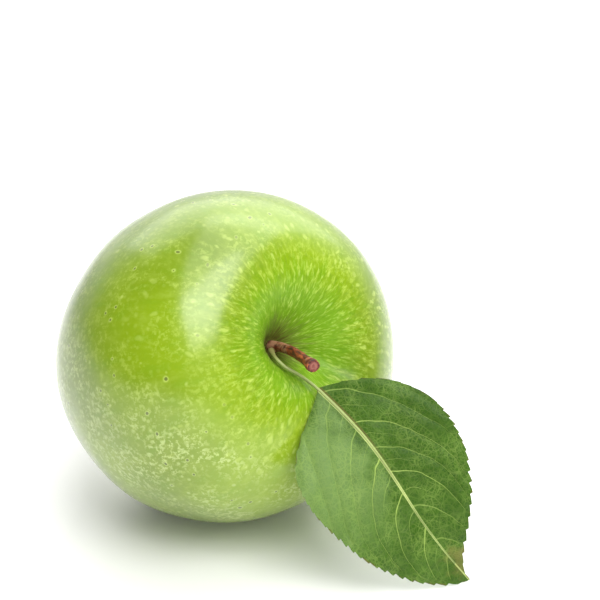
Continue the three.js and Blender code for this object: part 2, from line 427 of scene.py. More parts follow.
class NodeTree:
    """A node tree under construction: it adds shader nodes and joins them."""

    def __init__(self, tree: bpy.types.NodeTree) -> None:
        """Starts with a tree's own nodes.

        Args:
            tree: The tree.
        """
        self.tree = tree

    def feed(self, socket: bpy.types.NodeSocket, value: Value) -> None:
        """Joins a socket to another, or sets its number or colour.

        Args:
            socket: The socket that is fed.
            value: The socket, number or colour that goes into it.
        """
        if isinstance(value, bpy.types.NodeSocket):
            self.tree.links.new(value, socket)
        elif isinstance(value, tuple) and socket.type == "RGBA":
            socket.default_value = (*value, 1.0)
        else:
            socket.default_value = value

    def add(self, kind: str, inputs: Mapping[str | int, Value], **settings: object) -> bpy.types.Node:
        """Adds one node.

        Args:
            kind: The node's type, without the "ShaderNode" in front.
            inputs: What goes into its sockets, by their name or number.
            **settings: The node's own settings.

        Returns:
            The node.
        """
        node = self.tree.nodes.new("ShaderNode" + kind)
        for name, value in settings.items():
            setattr(node, name, value)
        for name, value in inputs.items():
            self.feed(node.inputs[name], value)
        return node

    def number(self, name: str) -> bpy.types.NodeSocket:
        """Returns a number that the mesh carries at each point."""
        return self.add("Attribute", {}, attribute_name=name).outputs["Fac"]

    def place(self, name: str) -> bpy.types.NodeSocket:
        """Returns a place that the mesh carries at each point, in millimetres."""
        return self.add("Attribute", {}, attribute_name=name).outputs["Vector"]

    def own_place(self) -> bpy.types.NodeSocket:
        """Returns the point's place in the part's frame, in millimetres."""
        place = self.add("TexCoord", {}).outputs["Object"]
        return self.add("VectorMath", {0: place, "Scale": 1.0 / MM}, operation="SCALE").outputs[0]

    def drawn_out(self, place: Value, by: float) -> bpy.types.NodeSocket:
        """Returns the place with its Z multiplied, which draws a pattern out along Z."""
        return self.add("VectorMath", {0: place, 1: (1.0, 1.0, by)}, operation="MULTIPLY").outputs[0]

    def part(self, place: Value, direction: str) -> bpy.types.NodeSocket:
        """Returns the X, Y or Z of a place."""
        return self.add("SeparateXYZ", {0: place}).outputs[direction]

    def along(self, place: Value, direction: Triple) -> bpy.types.NodeSocket:
        """Returns how far a place is along a direction."""
        return self.add("VectorMath", {0: place, 1: direction}, operation="DOT_PRODUCT").outputs["Value"]

    def away(self, place: Value, point: Triple) -> bpy.types.NodeSocket:
        """Returns how far a place is from a point."""
        return self.add("VectorMath", {0: place, 1: point}, operation="DISTANCE").outputs["Value"]

    def math(self, operation: str, a: Value, b: Value = 0.0) -> bpy.types.NodeSocket:
        """Returns the result of a sum on one or two numbers."""
        return self.add("Math", {0: a, 1: b}, operation=operation).outputs[0]

    def times(self, a: Value, b: Value) -> bpy.types.NodeSocket:
        """Returns the product of two numbers."""
        return self.math("MULTIPLY", a, b)

    def ramp(self, value: Value, fade: Fade) -> bpy.types.NodeSocket:
        """A smooth S from one number to another.

        Args:
            value: What the ramp follows.
            fade: Where it starts and ends, and the numbers that it gives there.

        Returns:
            The ramp's number.
        """
        ends = ((fade.first, fade.start), (fade.last, fade.end))
        (low, at_low), (high, at_high) = sorted(ends)
        inputs = {"Value": value, "From Min": low, "From Max": high, "To Min": at_low, "To Max": at_high}
        return self.add("MapRange", inputs, interpolation_type="SMOOTHSTEP").outputs["Result"]

    def noise(
        self, place: Value, size: float, detail: float = 3.0, roughness: float = 0.5
    ) -> bpy.types.NodeSocket:
        """Returns cloudy noise, mostly between 0.3 and 0.7, with clouds about the given size across."""
        inputs = {"Vector": place, "Scale": 1.0 / size, "Detail": detail, "Roughness": roughness}
        return self.add("TexNoise", inputs).outputs["Fac"]

    def jitter(self, value: Value, clouds: Value, by: float) -> bpy.types.NodeSocket:
        """Returns a number moved up or down by cloudy noise, by the given amount at most."""
        return self.math("ADD", value, self.ramp(clouds, Fade(*MOST_CLOUDS, by, start=-by)))

    def warped(self, place: Value, size: float, by: float) -> bpy.types.NodeSocket:
        """The place moved about by noise.

        Args:
            place: The place to move.
            size: The size of the noise's clouds.
            by: Twice the distance that it is moved by at most.

        Returns:
            The new place.
        """
        inputs = {"Vector": place, "Scale": 1.0 / size, "Detail": 2.0}
        cloud = self.add("TexNoise", inputs).outputs["Color"]
        centred = self.add("VectorMath", {0: cloud, 1: (0.5, 0.5, 0.5)}, operation="SUBTRACT").outputs[0]
        moved = self.add("VectorMath", {0: centred, "Scale": by}, operation="SCALE").outputs[0]
        return self.add("VectorMath", {0: place, 1: moved}, operation="ADD").outputs[0]

    def blend(self, share: Value, a: Value, b: Value) -> bpy.types.NodeSocket:
        """Returns colour a with a share of colour b laid over it."""
        return self.add("Mix", {0: share, 6: a, 7: b}, data_type="RGBA").outputs[2]

    def lay(self, share: Value, ground: Value, code: str) -> bpy.types.NodeSocket:
        """Returns a colour with a share of the colour with the given code laid over it."""
        return self.blend(share, ground, linear(code))

    def dots(self, place: Value, pattern: DotPattern) -> Dots:
        """Round dots scattered over a surface, at most one in each cell of a Voronoi pattern.

        Each cell's own colour says whether it holds a dot, and how large that one is.

        Args:
            place: The pattern's coordinate, in millimetres.
            pattern: The dots' gap, size and variety.

        Returns:
            The dots' covers.
        """
        inputs = {"Vector": place, "Scale": 1.0 / pattern.spacing, "Randomness": pattern.disorder}
        cells = self.add("TexVoronoi", inputs)
        distance = self.times(cells.outputs["Distance"], pattern.spacing)
        chance = self.part(cells.outputs["Color"], "X")
        own = self.part(cells.outputs["Color"], "Y")
        least = pattern.radius * (1.0 - pattern.spread)
        most = pattern.radius * (1.0 + pattern.spread)
        reach = self.math("DIVIDE", distance, self.ramp(own, Fade(0.0, 1.0, most, start=least)))
        kept = self.math("LESS_THAN", chance, pattern.keep)
        cover = self.times(self.ramp(reach, pattern.edge), kept)
        middle = self.times(self.ramp(reach, pattern.core), kept)
        return Dots(cover, middle)

    def lines(self, phase: Value, width: Value) -> bpy.types.NodeSocket:
        """Lines, soft at the edges, where a phase is a whole number.

        Args:
            phase: The phase.
            width: Half of the lines' width, measured in phase.

        Returns:
            The lines' cover.
        """
        nearest = self.math("ROUND", phase)
        away = self.math("ABSOLUTE", self.math("SUBTRACT", phase, nearest))
        return self.ramp(self.math("DIVIDE", away, width), SOFT_LINE)

    def network(self, place: Value, size: float, line: Fade) -> bpy.types.NodeSocket:
        """A net of thin lines, the borders of a Voronoi pattern.

        Args:
            place: The pattern's coordinate, in millimetres.
            size: The size of its meshes.
            line: How its cover follows the distance from a border, as a share of a mesh.

        Returns:
            The net's cover.
        """
        inputs = {"Vector": place, "Scale": 1.0 / size}
        cells = self.add("TexVoronoi", inputs, feature="DISTANCE_TO_EDGE")
        return self.ramp(cells.outputs["Distance"], line)

    def bump(self, height: Value, depth: float, over: Value | None = None) -> bpy.types.NodeSocket:
        """A surface direction roughened by a height.

        Args:
            height: The height, from 0 to 1.
            depth: The real depth of that height, in millimetres.
            over: The surface direction to start from.

        Returns:
            The new surface direction.
        """
        inputs = {"Height": height, "Distance": depth * MM, "Strength": 1.0}
        if over is not None:
            inputs["Normal"] = over
        return self.add("Bump", inputs).outputs["Normal"]


class Shader(NodeTree):
    """One procedural finish under construction."""

    def __init__(self, name: str) -> None:
        """Starts a finish that has only its Principled BSDF.

        Args:
            name: The material's name.
        """
        self.material = bpy.data.materials.new(name)
        self.material.use_nodes = True
        super().__init__(self.material.node_tree)
        self.surface = self.tree.nodes["Principled BSDF"]

    def finish(self, sockets: Mapping[str, Value]) -> bpy.types.Material:
        """Feeds the Principled BSDF and ends the work.

        Args:
            sockets: What goes into each of its sockets, by their names.

        Returns:
            The material.
        """
        for name, value in sockets.items():
            self.feed(self.surface.inputs[name], value)
        return self.material


# ------------------------------------------------------------------------------ finishes


@dataclass(frozen=True)
class SkinGuide:
    """What the skin's colours follow: places and distances on the fruit, and two patterns."""

    own: bpy.types.NodeSocket
    lines: bpy.types.NodeSocket
    from_stem: bpy.types.NodeSocket
    stem_reach: bpy.types.NodeSocket
    calyx_reach: bpy.types.NodeSocket
    streaks: bpy.types.NodeSocket
    glare_side: bpy.types.NodeSocket


@dataclass(frozen=True)
class SkinFinish:
    """Waxy green apple skin: mottled, dotted with pale lenticels, russeted deep in the cavity."""

    deep: str = "#6a8400"
    light: str = "#7d9900"
    pale: str = "#b8cc5c"
    shade: str = "#4c7408"
    rim_green: str = "#68940a"
    olive: str = "#63742a"
    russet: str = "#54431f"
    dot: str = "#cfe078"
    # Pale haze of the lower left: partly the skin's own paler side, partly a painted reflection of the
    # white table.
    pale_and_table_glare: str = "#c8d68c"
    speck: str = "#38400c"
    basin: str = "#b3bd48"
    # The ground, which follows the height away from the lower left, the streaks and the noise.
    away_from_glare: Triple = (0.38, 0.0, 1.0)
    toward_glare_side: Fade = Fade(46.0, 28.0)
    # Share of the pale haze over the lower left, a painted reflection of the white table.
    table_glare_share: float = 0.1
    pale_streaks: Fade = Fade(0.45, 0.7, 0.12)
    green_streaks: Fade = Fade(0.5, 0.3, 0.22)
    mottle: Fade = Fade(0.48, 0.62)
    mottled_patches: Fade = Fade(0.35, 0.62, 0.52, start=0.06)
    # The mottle grows on the lower left, where it helps paint the table's reflection.
    glare_side_mottle: Fade = Fade(0.0, 1.0, 1.15, start=0.58)
    # The two hollows, which follow the distance from the core's line.
    cavity_green: Fade = Fade(22.0, 9.0, 0.92)
    cavity_olive: Fade = Fade(8.0, 3.6, 0.8)
    cavity_russet: Fade = Fade(4.4, 1.8, 0.7)
    streaks_end: Fade = Fade(30.0, 16.0)
    streaks_start: Fade = Fade(2.0, 6.0)
    bright_streaks: Fade = Fade(0.5, 0.68, 0.4)
    dim_streaks: Fade = Fade(0.48, 0.34, 0.34)
    basin_yellow: Fade = Fade(14.0, 5.0, 0.6)
    basin_russet: Fade = Fade(4.8, 3.0, 0.9)
    # The lenticels, which follow the way over the skin from the stem.
    dashes: DotPattern = DotPattern(1.3, 0.36, 0.5, 0.5)
    dashes_share: Fade = Fade(62.0, 30.0, 0.27)
    small_dots: DotPattern = DotPattern(1.55, 0.4, 0.5, 0.65)
    small_share: Fade = Fade(28.0, 60.0, 0.3, start=0.05)
    # Small dots grow on the lower left, where they take the colour of the painted table reflection.
    small_on_glare_side: Fade = Fade(0.0, 1.0, 1.5, start=0.45)
    large_dots: DotPattern = DotPattern(3.6, 0.62, 0.25, 0.85)
    large_share: Fade = Fade(20.0, 45.0, 0.5)
    speck_edge: Fade = Fade(0.2, 0.8)
    speck_share: Fade = Fade(24.0, 40.0, 0.75)
    # The gloss and the relief, with depths in millimetres.
    roughness: Fade = Fade(*MOST_CLOUDS, 0.46, start=0.32)
    dull_cavity: Fade = Fade(16.0, 5.0, 0.6)
    wax: Fade = Fade(11.0, 26.0)
    pore_depth: float = 0.03
    dimple_depth: float = 0.16
    dot_depth: float = 0.04
    streak_depth: float = 0.05

    def guide(self, make: Shader) -> SkinGuide:
        """Gathers what the colours follow.

        The streaks run along the meridians. The lower left side is paler: partly the skin's own colour,
        partly a painted reflection of the white table.

        Args:
            make: The finish under construction.

        Returns:
            The places, distances and patterns.
        """
        own = make.own_place()
        lines = make.place("skin_lines")
        streak_place = make.drawn_out(make.warped(lines, size=9.0, by=2.0), by=0.22)
        # Height away from the lower left, where a painted reflection of the table is laid.
        glare_free_height = make.along(own, self.away_from_glare)
        glare_free_height = make.jitter(glare_free_height, make.noise(own, size=14.0, detail=2.0), by=5.0)
        return SkinGuide(
            own=own,
            lines=lines,
            from_stem=make.number("from_stem"),
            stem_reach=make.number("stem_reach"),
            calyx_reach=make.number("calyx_reach"),
            streaks=make.noise(streak_place, size=1.5, roughness=0.6),
            glare_side=make.ramp(glare_free_height, self.toward_glare_side),
        )

    def ground(self, make: Shader, on: SkinGuide) -> Value:
        """The ground colour: slow drifts of green, faint streaks, a painted table reflection over the
        lower left, and a fine mottling in patches.

        Args:
            make: The finish under construction.
            on: What the colours follow.

        Returns:
            The colour.
        """
        drift = make.ramp(make.noise(on.own, size=30.0, detail=1.0), EVEN_MIX)
        ground = make.blend(drift, linear(self.deep), linear(self.light))
        ground = make.lay(make.ramp(on.streaks, self.pale_streaks), ground, self.pale)
        ground = make.lay(make.ramp(on.streaks, self.green_streaks), ground, self.rim_green)
        # Painted reflection: a pale haze of the white table laid over the lower left.
        ground = make.lay(make.times(on.glare_side, self.table_glare_share), ground, self.pale_and_table_glare)
        mottle = make.noise(make.warped(on.own, size=2.0, by=1.2), size=1.05, roughness=0.7)
        patches = make.ramp(make.noise(on.own, size=9.0), self.mottled_patches)
        # Towards the lower left the mottle grows and takes the haze's colour: partly real paleness,
        # partly painted reflection.
        patches = make.times(patches, make.ramp(on.glare_side, self.glare_side_mottle))
        whitish = make.blend(on.glare_side, linear(self.pale), linear(self.pale_and_table_glare))
        return make.blend(make.times(make.ramp(mottle, self.mottle), patches), ground, whitish)

    def cavity(self, make: Shader, on: SkinGuide, ground: Value) -> Value:
        """Colours the stem's cavity.

        The shoulder is a deeper green, the wall olive and the foot of the stem brown. Fine pale and
        dark streaks run down into it.

        Args:
            make: The finish under construction.
            on: What the colours follow.
            ground: The colour underneath.

        Returns:
            The colour.
        """
        edge = make.jitter(on.stem_reach, on.streaks, by=2.0)
        ground = make.lay(make.ramp(edge, self.cavity_green), ground, self.rim_green)
        ground = make.lay(make.ramp(edge, self.cavity_olive), ground, self.olive)
        ground = make.lay(make.ramp(edge, self.cavity_russet), ground, self.russet)
        near = make.ramp(on.stem_reach, self.streaks_end)
        near = make.times(near, make.ramp(on.stem_reach, self.streaks_start))
        fine_place = make.drawn_out(make.warped(on.lines, size=3.0, by=1.6), by=0.3)
        fine = make.noise(fine_place, size=0.7, roughness=0.6)
        bright = make.times(make.ramp(fine, self.bright_streaks), near)
        dim = make.times(make.ramp(fine, self.dim_streaks), near)
        return make.lay(dim, make.lay(bright, ground, self.pale), self.shade)

    def basin_wall(self, make: Shader, on: SkinGuide, ground: Value) -> Value:
        """Colours the basin at the calyx end: yellower down its wall, and brown at its floor.

        Args:
            make: The finish under construction.
            on: What the colours follow.
            ground: The colour underneath.

        Returns:
            The colour.
        """
        edge = make.jitter(on.calyx_reach, on.streaks, by=1.5)
        ground = make.lay(make.ramp(edge, self.basin_yellow), ground, self.basin)
        return make.lay(make.ramp(edge, self.basin_russet), ground, self.russet)

    def dotted(self, make: Shader, on: SkinGuide, colour: Value, large: Dots) -> Value:
        """Lays the lenticels over the skin.

        Near the stem they are dashes that point at it. Further away they are small dots and a few
        large ones with a brown middle.

        Args:
            make: The finish under construction.
            on: What the colours follow.
            colour: The colour underneath.
            large: Where the large dots are.

        Returns:
            The colour.
        """
        dash_place = make.warped(make.warped(on.lines, size=5.0, by=2.4), size=1.2, by=0.5)
        dashes = make.dots(make.drawn_out(dash_place, by=0.42), self.dashes)
        share = make.times(dashes.cover, make.ramp(on.from_stem, self.dashes_share))
        colour = make.lay(share, colour, self.dot)
        # On the lower left the dots take the colour of the painted table reflection.
        dot = make.blend(on.glare_side, linear(self.dot), linear(self.pale_and_table_glare))
        small = make.dots(make.warped(on.own, size=3.0, by=0.5), self.small_dots)
        share = make.times(small.cover, make.ramp(on.from_stem, self.small_share))
        share = make.times(share, make.ramp(on.glare_side, self.small_on_glare_side))
        colour = make.blend(share, colour, dot)
        share = make.times(large.cover, make.ramp(on.from_stem, self.large_share))
        colour = make.blend(share, colour, dot)
        specks = make.ramp(large.middle, self.speck_edge)
        share = make.times(specks, make.ramp(on.from_stem, self.speck_share))
        return make.lay(share, colour, self.speck)

    def relief(self, make: Shader, on: SkinGuide, large: Dots) -> Value:
        """The skin's fine relief: pores, dimples, the large dots and the streaks.

        Args:
            make: The finish under construction.
            on: Where the streaks are.
            large: Where the large dots are.

        Returns:
            The surface direction.
        """
        relief = make.bump(make.noise(on.own, size=0.9, detail=2.0), self.pore_depth)
        relief = make.bump(make.noise(on.own, size=5.0, detail=2.0), self.dimple_depth, relief)
        relief = make.bump(large.cover, self.dot_depth, relief)
        return make.bump(on.streaks, self.streak_depth, relief)

    def material(self) -> bpy.types.Material:
        """Builds the skin from its ground colour up to its dots.

        Returns:
            The material.
        """
        make = Shader("apple_skin")
        on = self.guide(make)
        colour = self.ground(make, on)
        colour = self.cavity(make, on, colour)
        colour = self.basin_wall(make, on, colour)
        large = make.dots(make.warped(on.own, size=9.0, by=3.0), self.large_dots)
        colour = self.dotted(make, on, colour, large)
        gloss = make.ramp(make.noise(on.own, size=6.0, roughness=0.6), self.roughness)
        return make.finish(
            {
                "Base Color": colour,
                "Roughness": make.math("MAXIMUM", gloss, make.ramp(on.stem_reach, self.dull_cavity)),
                "Normal": self.relief(make, on, large),
                "Coat Weight": make.ramp(on.stem_reach, self.wax),
                "Coat Roughness": 0.2,
                "Subsurface Weight": 0.05,
                "Subsurface Radius": (0.9, 1.0, 0.35),
                "Subsurface Scale": 2.0 * MM,
                "Specular IOR Level": 0.2,
            }
        )


@dataclass(frozen=True)
class BarkFinish:
    """The stem's bark: reddish brown with tan streaks, grey at the foot, dark round the cut end."""

    red: str = "#8a3d1e"
    dark: str = "#3c1a12"
    tan: str = "#b48566"
    glow: str = "#c0703a"
    cut: str = "#6f3129"
    pith: str = "#8c5548"
    # The bark, which follows its grain and how far along the stem it is.
    weathered_foot: Fade = Fade(0.75, 0.1, 0.14, start=-0.12)
    tan_patches: Fade = Fade(0.48, 0.66, 0.8)
    glowing_grain: Fade = Fade(0.5, 0.64)
    glowing_end: Fade = Fade(0.35, 0.7, 0.5)
    roughness: Fade = Fade(*MOST_CLOUDS, 0.75, start=0.5)
    grain_depth: float = 0.12
    patch_depth: float = 0.1
    # The cut face, which follows the distance from its middle.
    pith_edge: Fade = Fade(0.8, 0.5)
    pith_middle: Fade = Fade(0.34, 0.16, 0.75)
    bark_edge: Fade = Fade(0.78, 0.95)

    def cut_face(self, make: Shader, place: Value) -> Value:
        """The colours of the cut face: a brown pith, a paler ring, and a dark ragged edge.

        Args:
            make: The finish under construction.
            place: The bark's own coordinate.

        Returns:
            The colour.
        """
        ragged = make.jitter(make.number("cut_reach"), make.noise(place, size=0.35), by=0.16)
        face = make.blend(make.ramp(ragged, self.pith_edge), linear(self.cut), linear(self.pith))
        face = make.lay(make.ramp(ragged, self.pith_middle), face, self.cut)
        return make.lay(make.ramp(ragged, self.bark_edge), face, self.dark)

    def material(self) -> bpy.types.Material:
        """Builds the bark and the cut face.

        Returns:
            The material.
        """
        make = Shader("stem_bark")
        place = make.place("bark_place")
        along = make.number("along")
        grain_place = make.drawn_out(place, by=0.22)
        grain = make.noise(grain_place, size=0.5, detail=4.0, roughness=0.6)
        patches = make.noise(place, size=2.2, roughness=0.6)
        colour = make.blend(make.ramp(grain, EVEN_MIX), linear(self.dark), linear(self.red))
        weathered = make.math("ADD", patches, make.ramp(along, self.weathered_foot))
        colour = make.lay(make.ramp(weathered, self.tan_patches), colour, self.tan)
        glow = make.times(make.ramp(grain, self.glowing_grain), make.ramp(along, self.glowing_end))
        colour = make.lay(glow, colour, self.glow)
        colour = make.blend(make.number("cut"), colour, self.cut_face(make, place))
        relief = make.bump(grain, self.grain_depth)
        return make.finish(
            {
                "Base Color": colour,
                "Roughness": make.ramp(grain, self.roughness),
                "Normal": make.bump(patches, self.patch_depth, relief),
            }
        )


@dataclass(frozen=True)
class LeafGuide:
    """What the leaf's colours follow: places and distances on the blade laid flat, and its veins."""

    place: bpy.types.NodeSocket
    side: bpy.types.NodeSocket
    along: bpy.types.NodeSocket
    out: bpy.types.NodeSocket
    inside: bpy.types.NodeSocket
    under: bpy.types.NodeSocket
    veins: bpy.types.NodeSocket
    net: bpy.types.NodeSocket


@dataclass(frozen=True)
class LeafFinish:
    """The leaf: satin green above with pale veins and a fine net, duller and paler beneath."""

    green: str = "#2f5009"
    light: str = "#3a5c12"
    dark: str = "#25410b"
    # Painted reflection: the grey sheen laid over the blade's left half.
    painted_sheen: str = "#6f8c4a"
    vein: str = "#98b158"
    rib: str = "#bccb7c"
    under: str = "#8aa56c"
    tip: str = "#79713a"
    # The dry margin's brown, also used for the painted shadow line beside the midrib.
    edge: str = "#5a5426"
    # The blade's ground, and a painted sheen over its left half.
    dark_patches: Fade = Fade(0.45, 0.68, 0.5)
    sheen_side: Fade = Fade(1.0, -7.0)
    sheen_along: Fade = Fade(18.0, 40.0, 0.05, start=0.62)
    under_share: float = 0.72
    # The side veins, with half widths in phase, and the net between them.
    vein_width: Fade = Fade(0.0, 15.0, 0.011, start=0.026)
    half_vein_width: float = 0.011
    half_vein_reach: Fade = Fade(8.0, 2.5, 0.6)
    vein_end: Fade = Fade(0.3, 3.0)
    vein_share: float = 0.8
    coarse_net: Fade = Fade(0.075, 0.01)
    coarse_share: float = 0.8
    fine_net: Fade = Fade(0.17, 0.02)
    fine_share: float = 0.55
    net_share: Fade = Fade(*MID_CLOUDS, 0.32, start=0.1)
    # The midrib, with half widths in millimetres, and a painted shadow line beside it.
    rib_width: Fade = Fade(0.0, 60.0, 0.18, start=0.55)
    rib_edge: Fade = Fade(1.0, 0.45, 0.9)
    shadow_line_side: float = 0.62
    shadow_line_edge: Fade = Fade(0.3, 0.1)
    shadow_line_along: Fade = Fade(30.0, 8.0, 0.8)
    # What is worn and dry.
    brown_patch: Triple = (2.5, 50.5, 0.0)
    brown_edge: Fade = Fade(5.5, 1.5, 0.5)
    ragged_margin: Fade = Fade(*MID_CLOUDS, 0.5, start=-0.15)
    dry_margin: Fade = Fade(0.45, 0.1, 0.7)
    # The gloss and the relief, with depths in millimetres.
    roughness: Fade = Fade(*MOST_CLOUDS, 0.48, start=0.38)
    vein_depth: float = 0.12
    net_height: float = 0.4
    pore_depth: float = 0.05

    def side_veins(self, make: Shader, place: Value, out: Value) -> Value:
        """The side veins, where a phase is whole, with weaker and shorter ones at the halves.

        Args:
            make: The finish under construction.
            place: The blade's own coordinate.
            out: The distance from the midrib.

        Returns:
            The veins' cover.
        """
        right = make.math("GREATER_THAN", make.part(place, "X"), 0.0)
        phases = {0: right, 2: make.number("vein_left"), 3: make.number("vein_right")}
        phase = make.add("Mix", phases, data_type="FLOAT").outputs[0]
        phase = make.jitter(phase, make.noise(place, size=5.0, detail=1.0), by=0.04)
        whole = make.lines(phase, make.ramp(out, self.vein_width))
        half = make.lines(make.math("ADD", phase, 0.5), self.half_vein_width)
        half = make.times(half, make.ramp(out, self.half_vein_reach))
        return make.times(make.math("MAXIMUM", whole, half), make.number("vein_strength"))

    def guide(self, make: Shader) -> LeafGuide:
        """Gathers what the colours follow.

        The net has large meshes between the side veins, and fine ones inside those.

        Args:
            make: The finish under construction.

        Returns:
            The places, distances and veins.
        """
        place = make.place("leaf_place")
        inside = make.number("inside")
        out = make.math("ABSOLUTE", make.part(place, "X"))
        net_place = make.warped(make.warped(place, size=2.5, by=0.9), size=0.8, by=0.35)
        coarse = make.network(net_place, size=1.9, line=self.coarse_net)
        fine = make.network(net_place, size=0.72, line=self.fine_net)
        return LeafGuide(
            place=place,
            side=make.part(place, "X"),
            along=make.part(place, "Y"),
            out=out,
            inside=inside,
            under=make.number("under"),
            veins=make.times(self.side_veins(make, place, out), make.ramp(inside, self.vein_end)),
            net=make.math(
                "MAXIMUM", make.times(coarse, self.coarse_share), make.times(fine, self.fine_share)
            ),
        )

    def ground(self, make: Shader, on: LeafGuide) -> Value:
        """The blade's green, with small dark patches and a painted grey sheen over its left half.

        Args:
            make: The finish under construction.
            on: What the colours follow.

        Returns:
            The colour.
        """
        drift = make.ramp(make.noise(on.place, size=12.0, detail=2.0), EVEN_MIX)
        ground = make.blend(drift, linear(self.green), linear(self.light))
        dim = make.ramp(make.noise(on.place, size=1.1, roughness=0.6), self.dark_patches)
        ground = make.lay(dim, ground, self.dark)
        # Painted sheen: a grey reflection over the left half, fading towards the tip.
        side = make.jitter(on.side, make.noise(on.place, size=8.0), by=4.0)
        painted_sheen = make.times(make.ramp(side, self.sheen_side), make.ramp(on.along, self.sheen_along))
        return make.lay(painted_sheen, ground, self.painted_sheen)

    def veined(self, make: Shader, on: LeafGuide, colour: Value) -> Value:
        """Lays the net, the side veins and the midrib over the blade.

        Args:
            make: The finish under construction.
            on: What the colours follow.
            colour: The colour underneath.

        Returns:
            The colour.
        """
        patchy = make.ramp(make.noise(on.place, size=6.0, detail=2.0), self.net_share)
        colour = make.lay(make.times(on.net, patchy), colour, self.vein)
        colour = make.lay(make.times(on.veins, self.vein_share), colour, self.vein)
        rib = make.math("DIVIDE", on.out, make.ramp(on.along, self.rib_width))
        return make.lay(make.ramp(rib, self.rib_edge), colour, self.rib)

    def worn_and_shadowed(self, make: Shader, on: LeafGuide, colour: Value) -> Value:
        """Lays a brown patch near the tip, a painted shadow line along the right of the midrib, and a
        dry margin.

        Args:
            make: The finish under construction.
            on: What the colours follow.
            colour: The colour underneath.

        Returns:
            The colour.
        """
        from_patch = make.away(on.place, self.brown_patch)
        from_patch = make.jitter(from_patch, make.noise(on.place, size=4.0), by=2.0)
        colour = make.lay(make.ramp(from_patch, self.brown_edge), colour, self.tip)
        # Painted shadow: a dark line along the right of the midrib, strongest near the base.
        groove = make.math("ABSOLUTE", make.math("SUBTRACT", on.side, self.shadow_line_side))
        groove = make.ramp(groove, self.shadow_line_edge)
        groove = make.times(groove, make.ramp(on.along, self.shadow_line_along))
        colour = make.lay(groove, colour, self.edge)
        ragged = make.ramp(make.noise(on.place, size=2.0, detail=2.0), self.ragged_margin)
        dry = make.ramp(make.math("ADD", on.inside, ragged), self.dry_margin)
        return make.lay(dry, colour, self.edge)

    def relief(self, make: Shader, on: LeafGuide) -> Value:
        """The blade's relief: veins sunk in the upper face and raised on the lower, and pores.

        Args:
            make: The finish under construction.
            on: Where the veins are, and which face is the lower one.

        Returns:
            The surface direction.
        """
        raised = make.math("SUBTRACT", make.times(on.under, 2.0), 1.0)
        height = make.math("MAXIMUM", on.veins, make.times(on.net, self.net_height))
        relief = make.bump(make.times(height, raised), self.vein_depth)
        return make.bump(make.noise(on.place, size=0.6, detail=2.0), self.pore_depth, relief)

    def material(self) -> bpy.types.Material:
        """Builds the blade from its green up to its dry margin, and its paler lower face.

        Returns:
            The material.
        """
        make = Shader("leaf_blade")
        on = self.guide(make)
        colour = self.worn_and_shadowed(make, on, self.veined(make, on, self.ground(make, on)))
        gloss = make.ramp(make.noise(on.place, size=3.0, detail=2.0), self.roughness)
        return make.finish(
            {
                "Base Color": make.lay(make.times(on.under, self.under_share), colour, self.under),
                "Roughness": gloss,
                "Normal": self.relief(make, on),
                "Specular IOR Level": 0.16,
            }
        )


@dataclass(frozen=True)
class StalkFinish:
    """The leaf's stalk and midrib: pale green, browner at the foot and greener to the tip."""

    green: str = "#919f5c"
    foot: str = "#6f6238"
    far: str = "#6b8440"
    brown_foot: Fade = Fade(0.1, 0.0, 0.8)
    green_tip: Fade = Fade(0.6, 0.95, 0.75)
    brown_grain: Fade = Fade(0.55, 0.3, 0.3)
    roughness: float = 0.45
    grain_depth: float = 0.05

    def material(self) -> bpy.types.Material:
        """Builds the stalk's finish.

        Returns:
            The material.
        """
        make = Shader("leaf_stalk")
        grain = make.noise(make.drawn_out(make.place("bark_place"), by=0.15), size=0.35)
        along = make.number("along")
        brown = make.ramp(along, self.brown_foot)
        colour = make.blend(brown, linear(self.green), linear(self.foot))
        colour = make.lay(make.ramp(along, self.green_tip), colour, self.far)
        colour = make.lay(make.ramp(grain, self.brown_grain), colour, self.foot)
        relief = make.bump(grain, self.grain_depth)
        return make.finish({"Base Color": colour, "Roughness": self.roughness, "Normal": relief})


@dataclass(frozen=True)
class DriedFinish:
    """Dried flower parts: mottled brown, fibrous and dull."""

    name: str
    light: str
    dark: str
    dark_patches: Fade = Fade(0.4, 0.65, 0.5)
    roughness: float = 0.85
    fibre_depth: float = 0.15

    def material(self) -> bpy.types.Material:
        """Builds the dried finish.

        Returns:
            The material.
        """
        make = Shader(self.name)
        own = make.own_place()
        fibres = make.noise(own, size=0.45, detail=4.0, roughness=0.65)
        colour = make.blend(make.ramp(fibres, EVEN_MIX), linear(self.dark), linear(self.light))
        patches = make.ramp(make.noise(own, size=1.6, detail=2.0), self.dark_patches)
        colour = make.lay(patches, colour, self.dark)
        relief = make.bump(fibres, self.fibre_depth)
        return make.finish({"Base Color": colour, "Roughness": self.roughness, "Normal": relief})


@dataclass(frozen=True)
class TableFinish:
    """A white tabletop with a faint gloss."""

    white: str = "#f0f0ef"
    roughness: float = 0.45

    def material(self) -> bpy.types.Material:
        """Builds the tabletop's finish and returns it."""
        sockets = {"Base Color": linear(self.white), "Roughness": self.roughness}
        return Shader("white_table").finish(sockets)


# ------------------------------------------------------------------------------ the fruit


class End(Enum):
    """The two ends of the core, by their angle from the stem's."""

    STEM = 0.0
    CALYX = math.pi


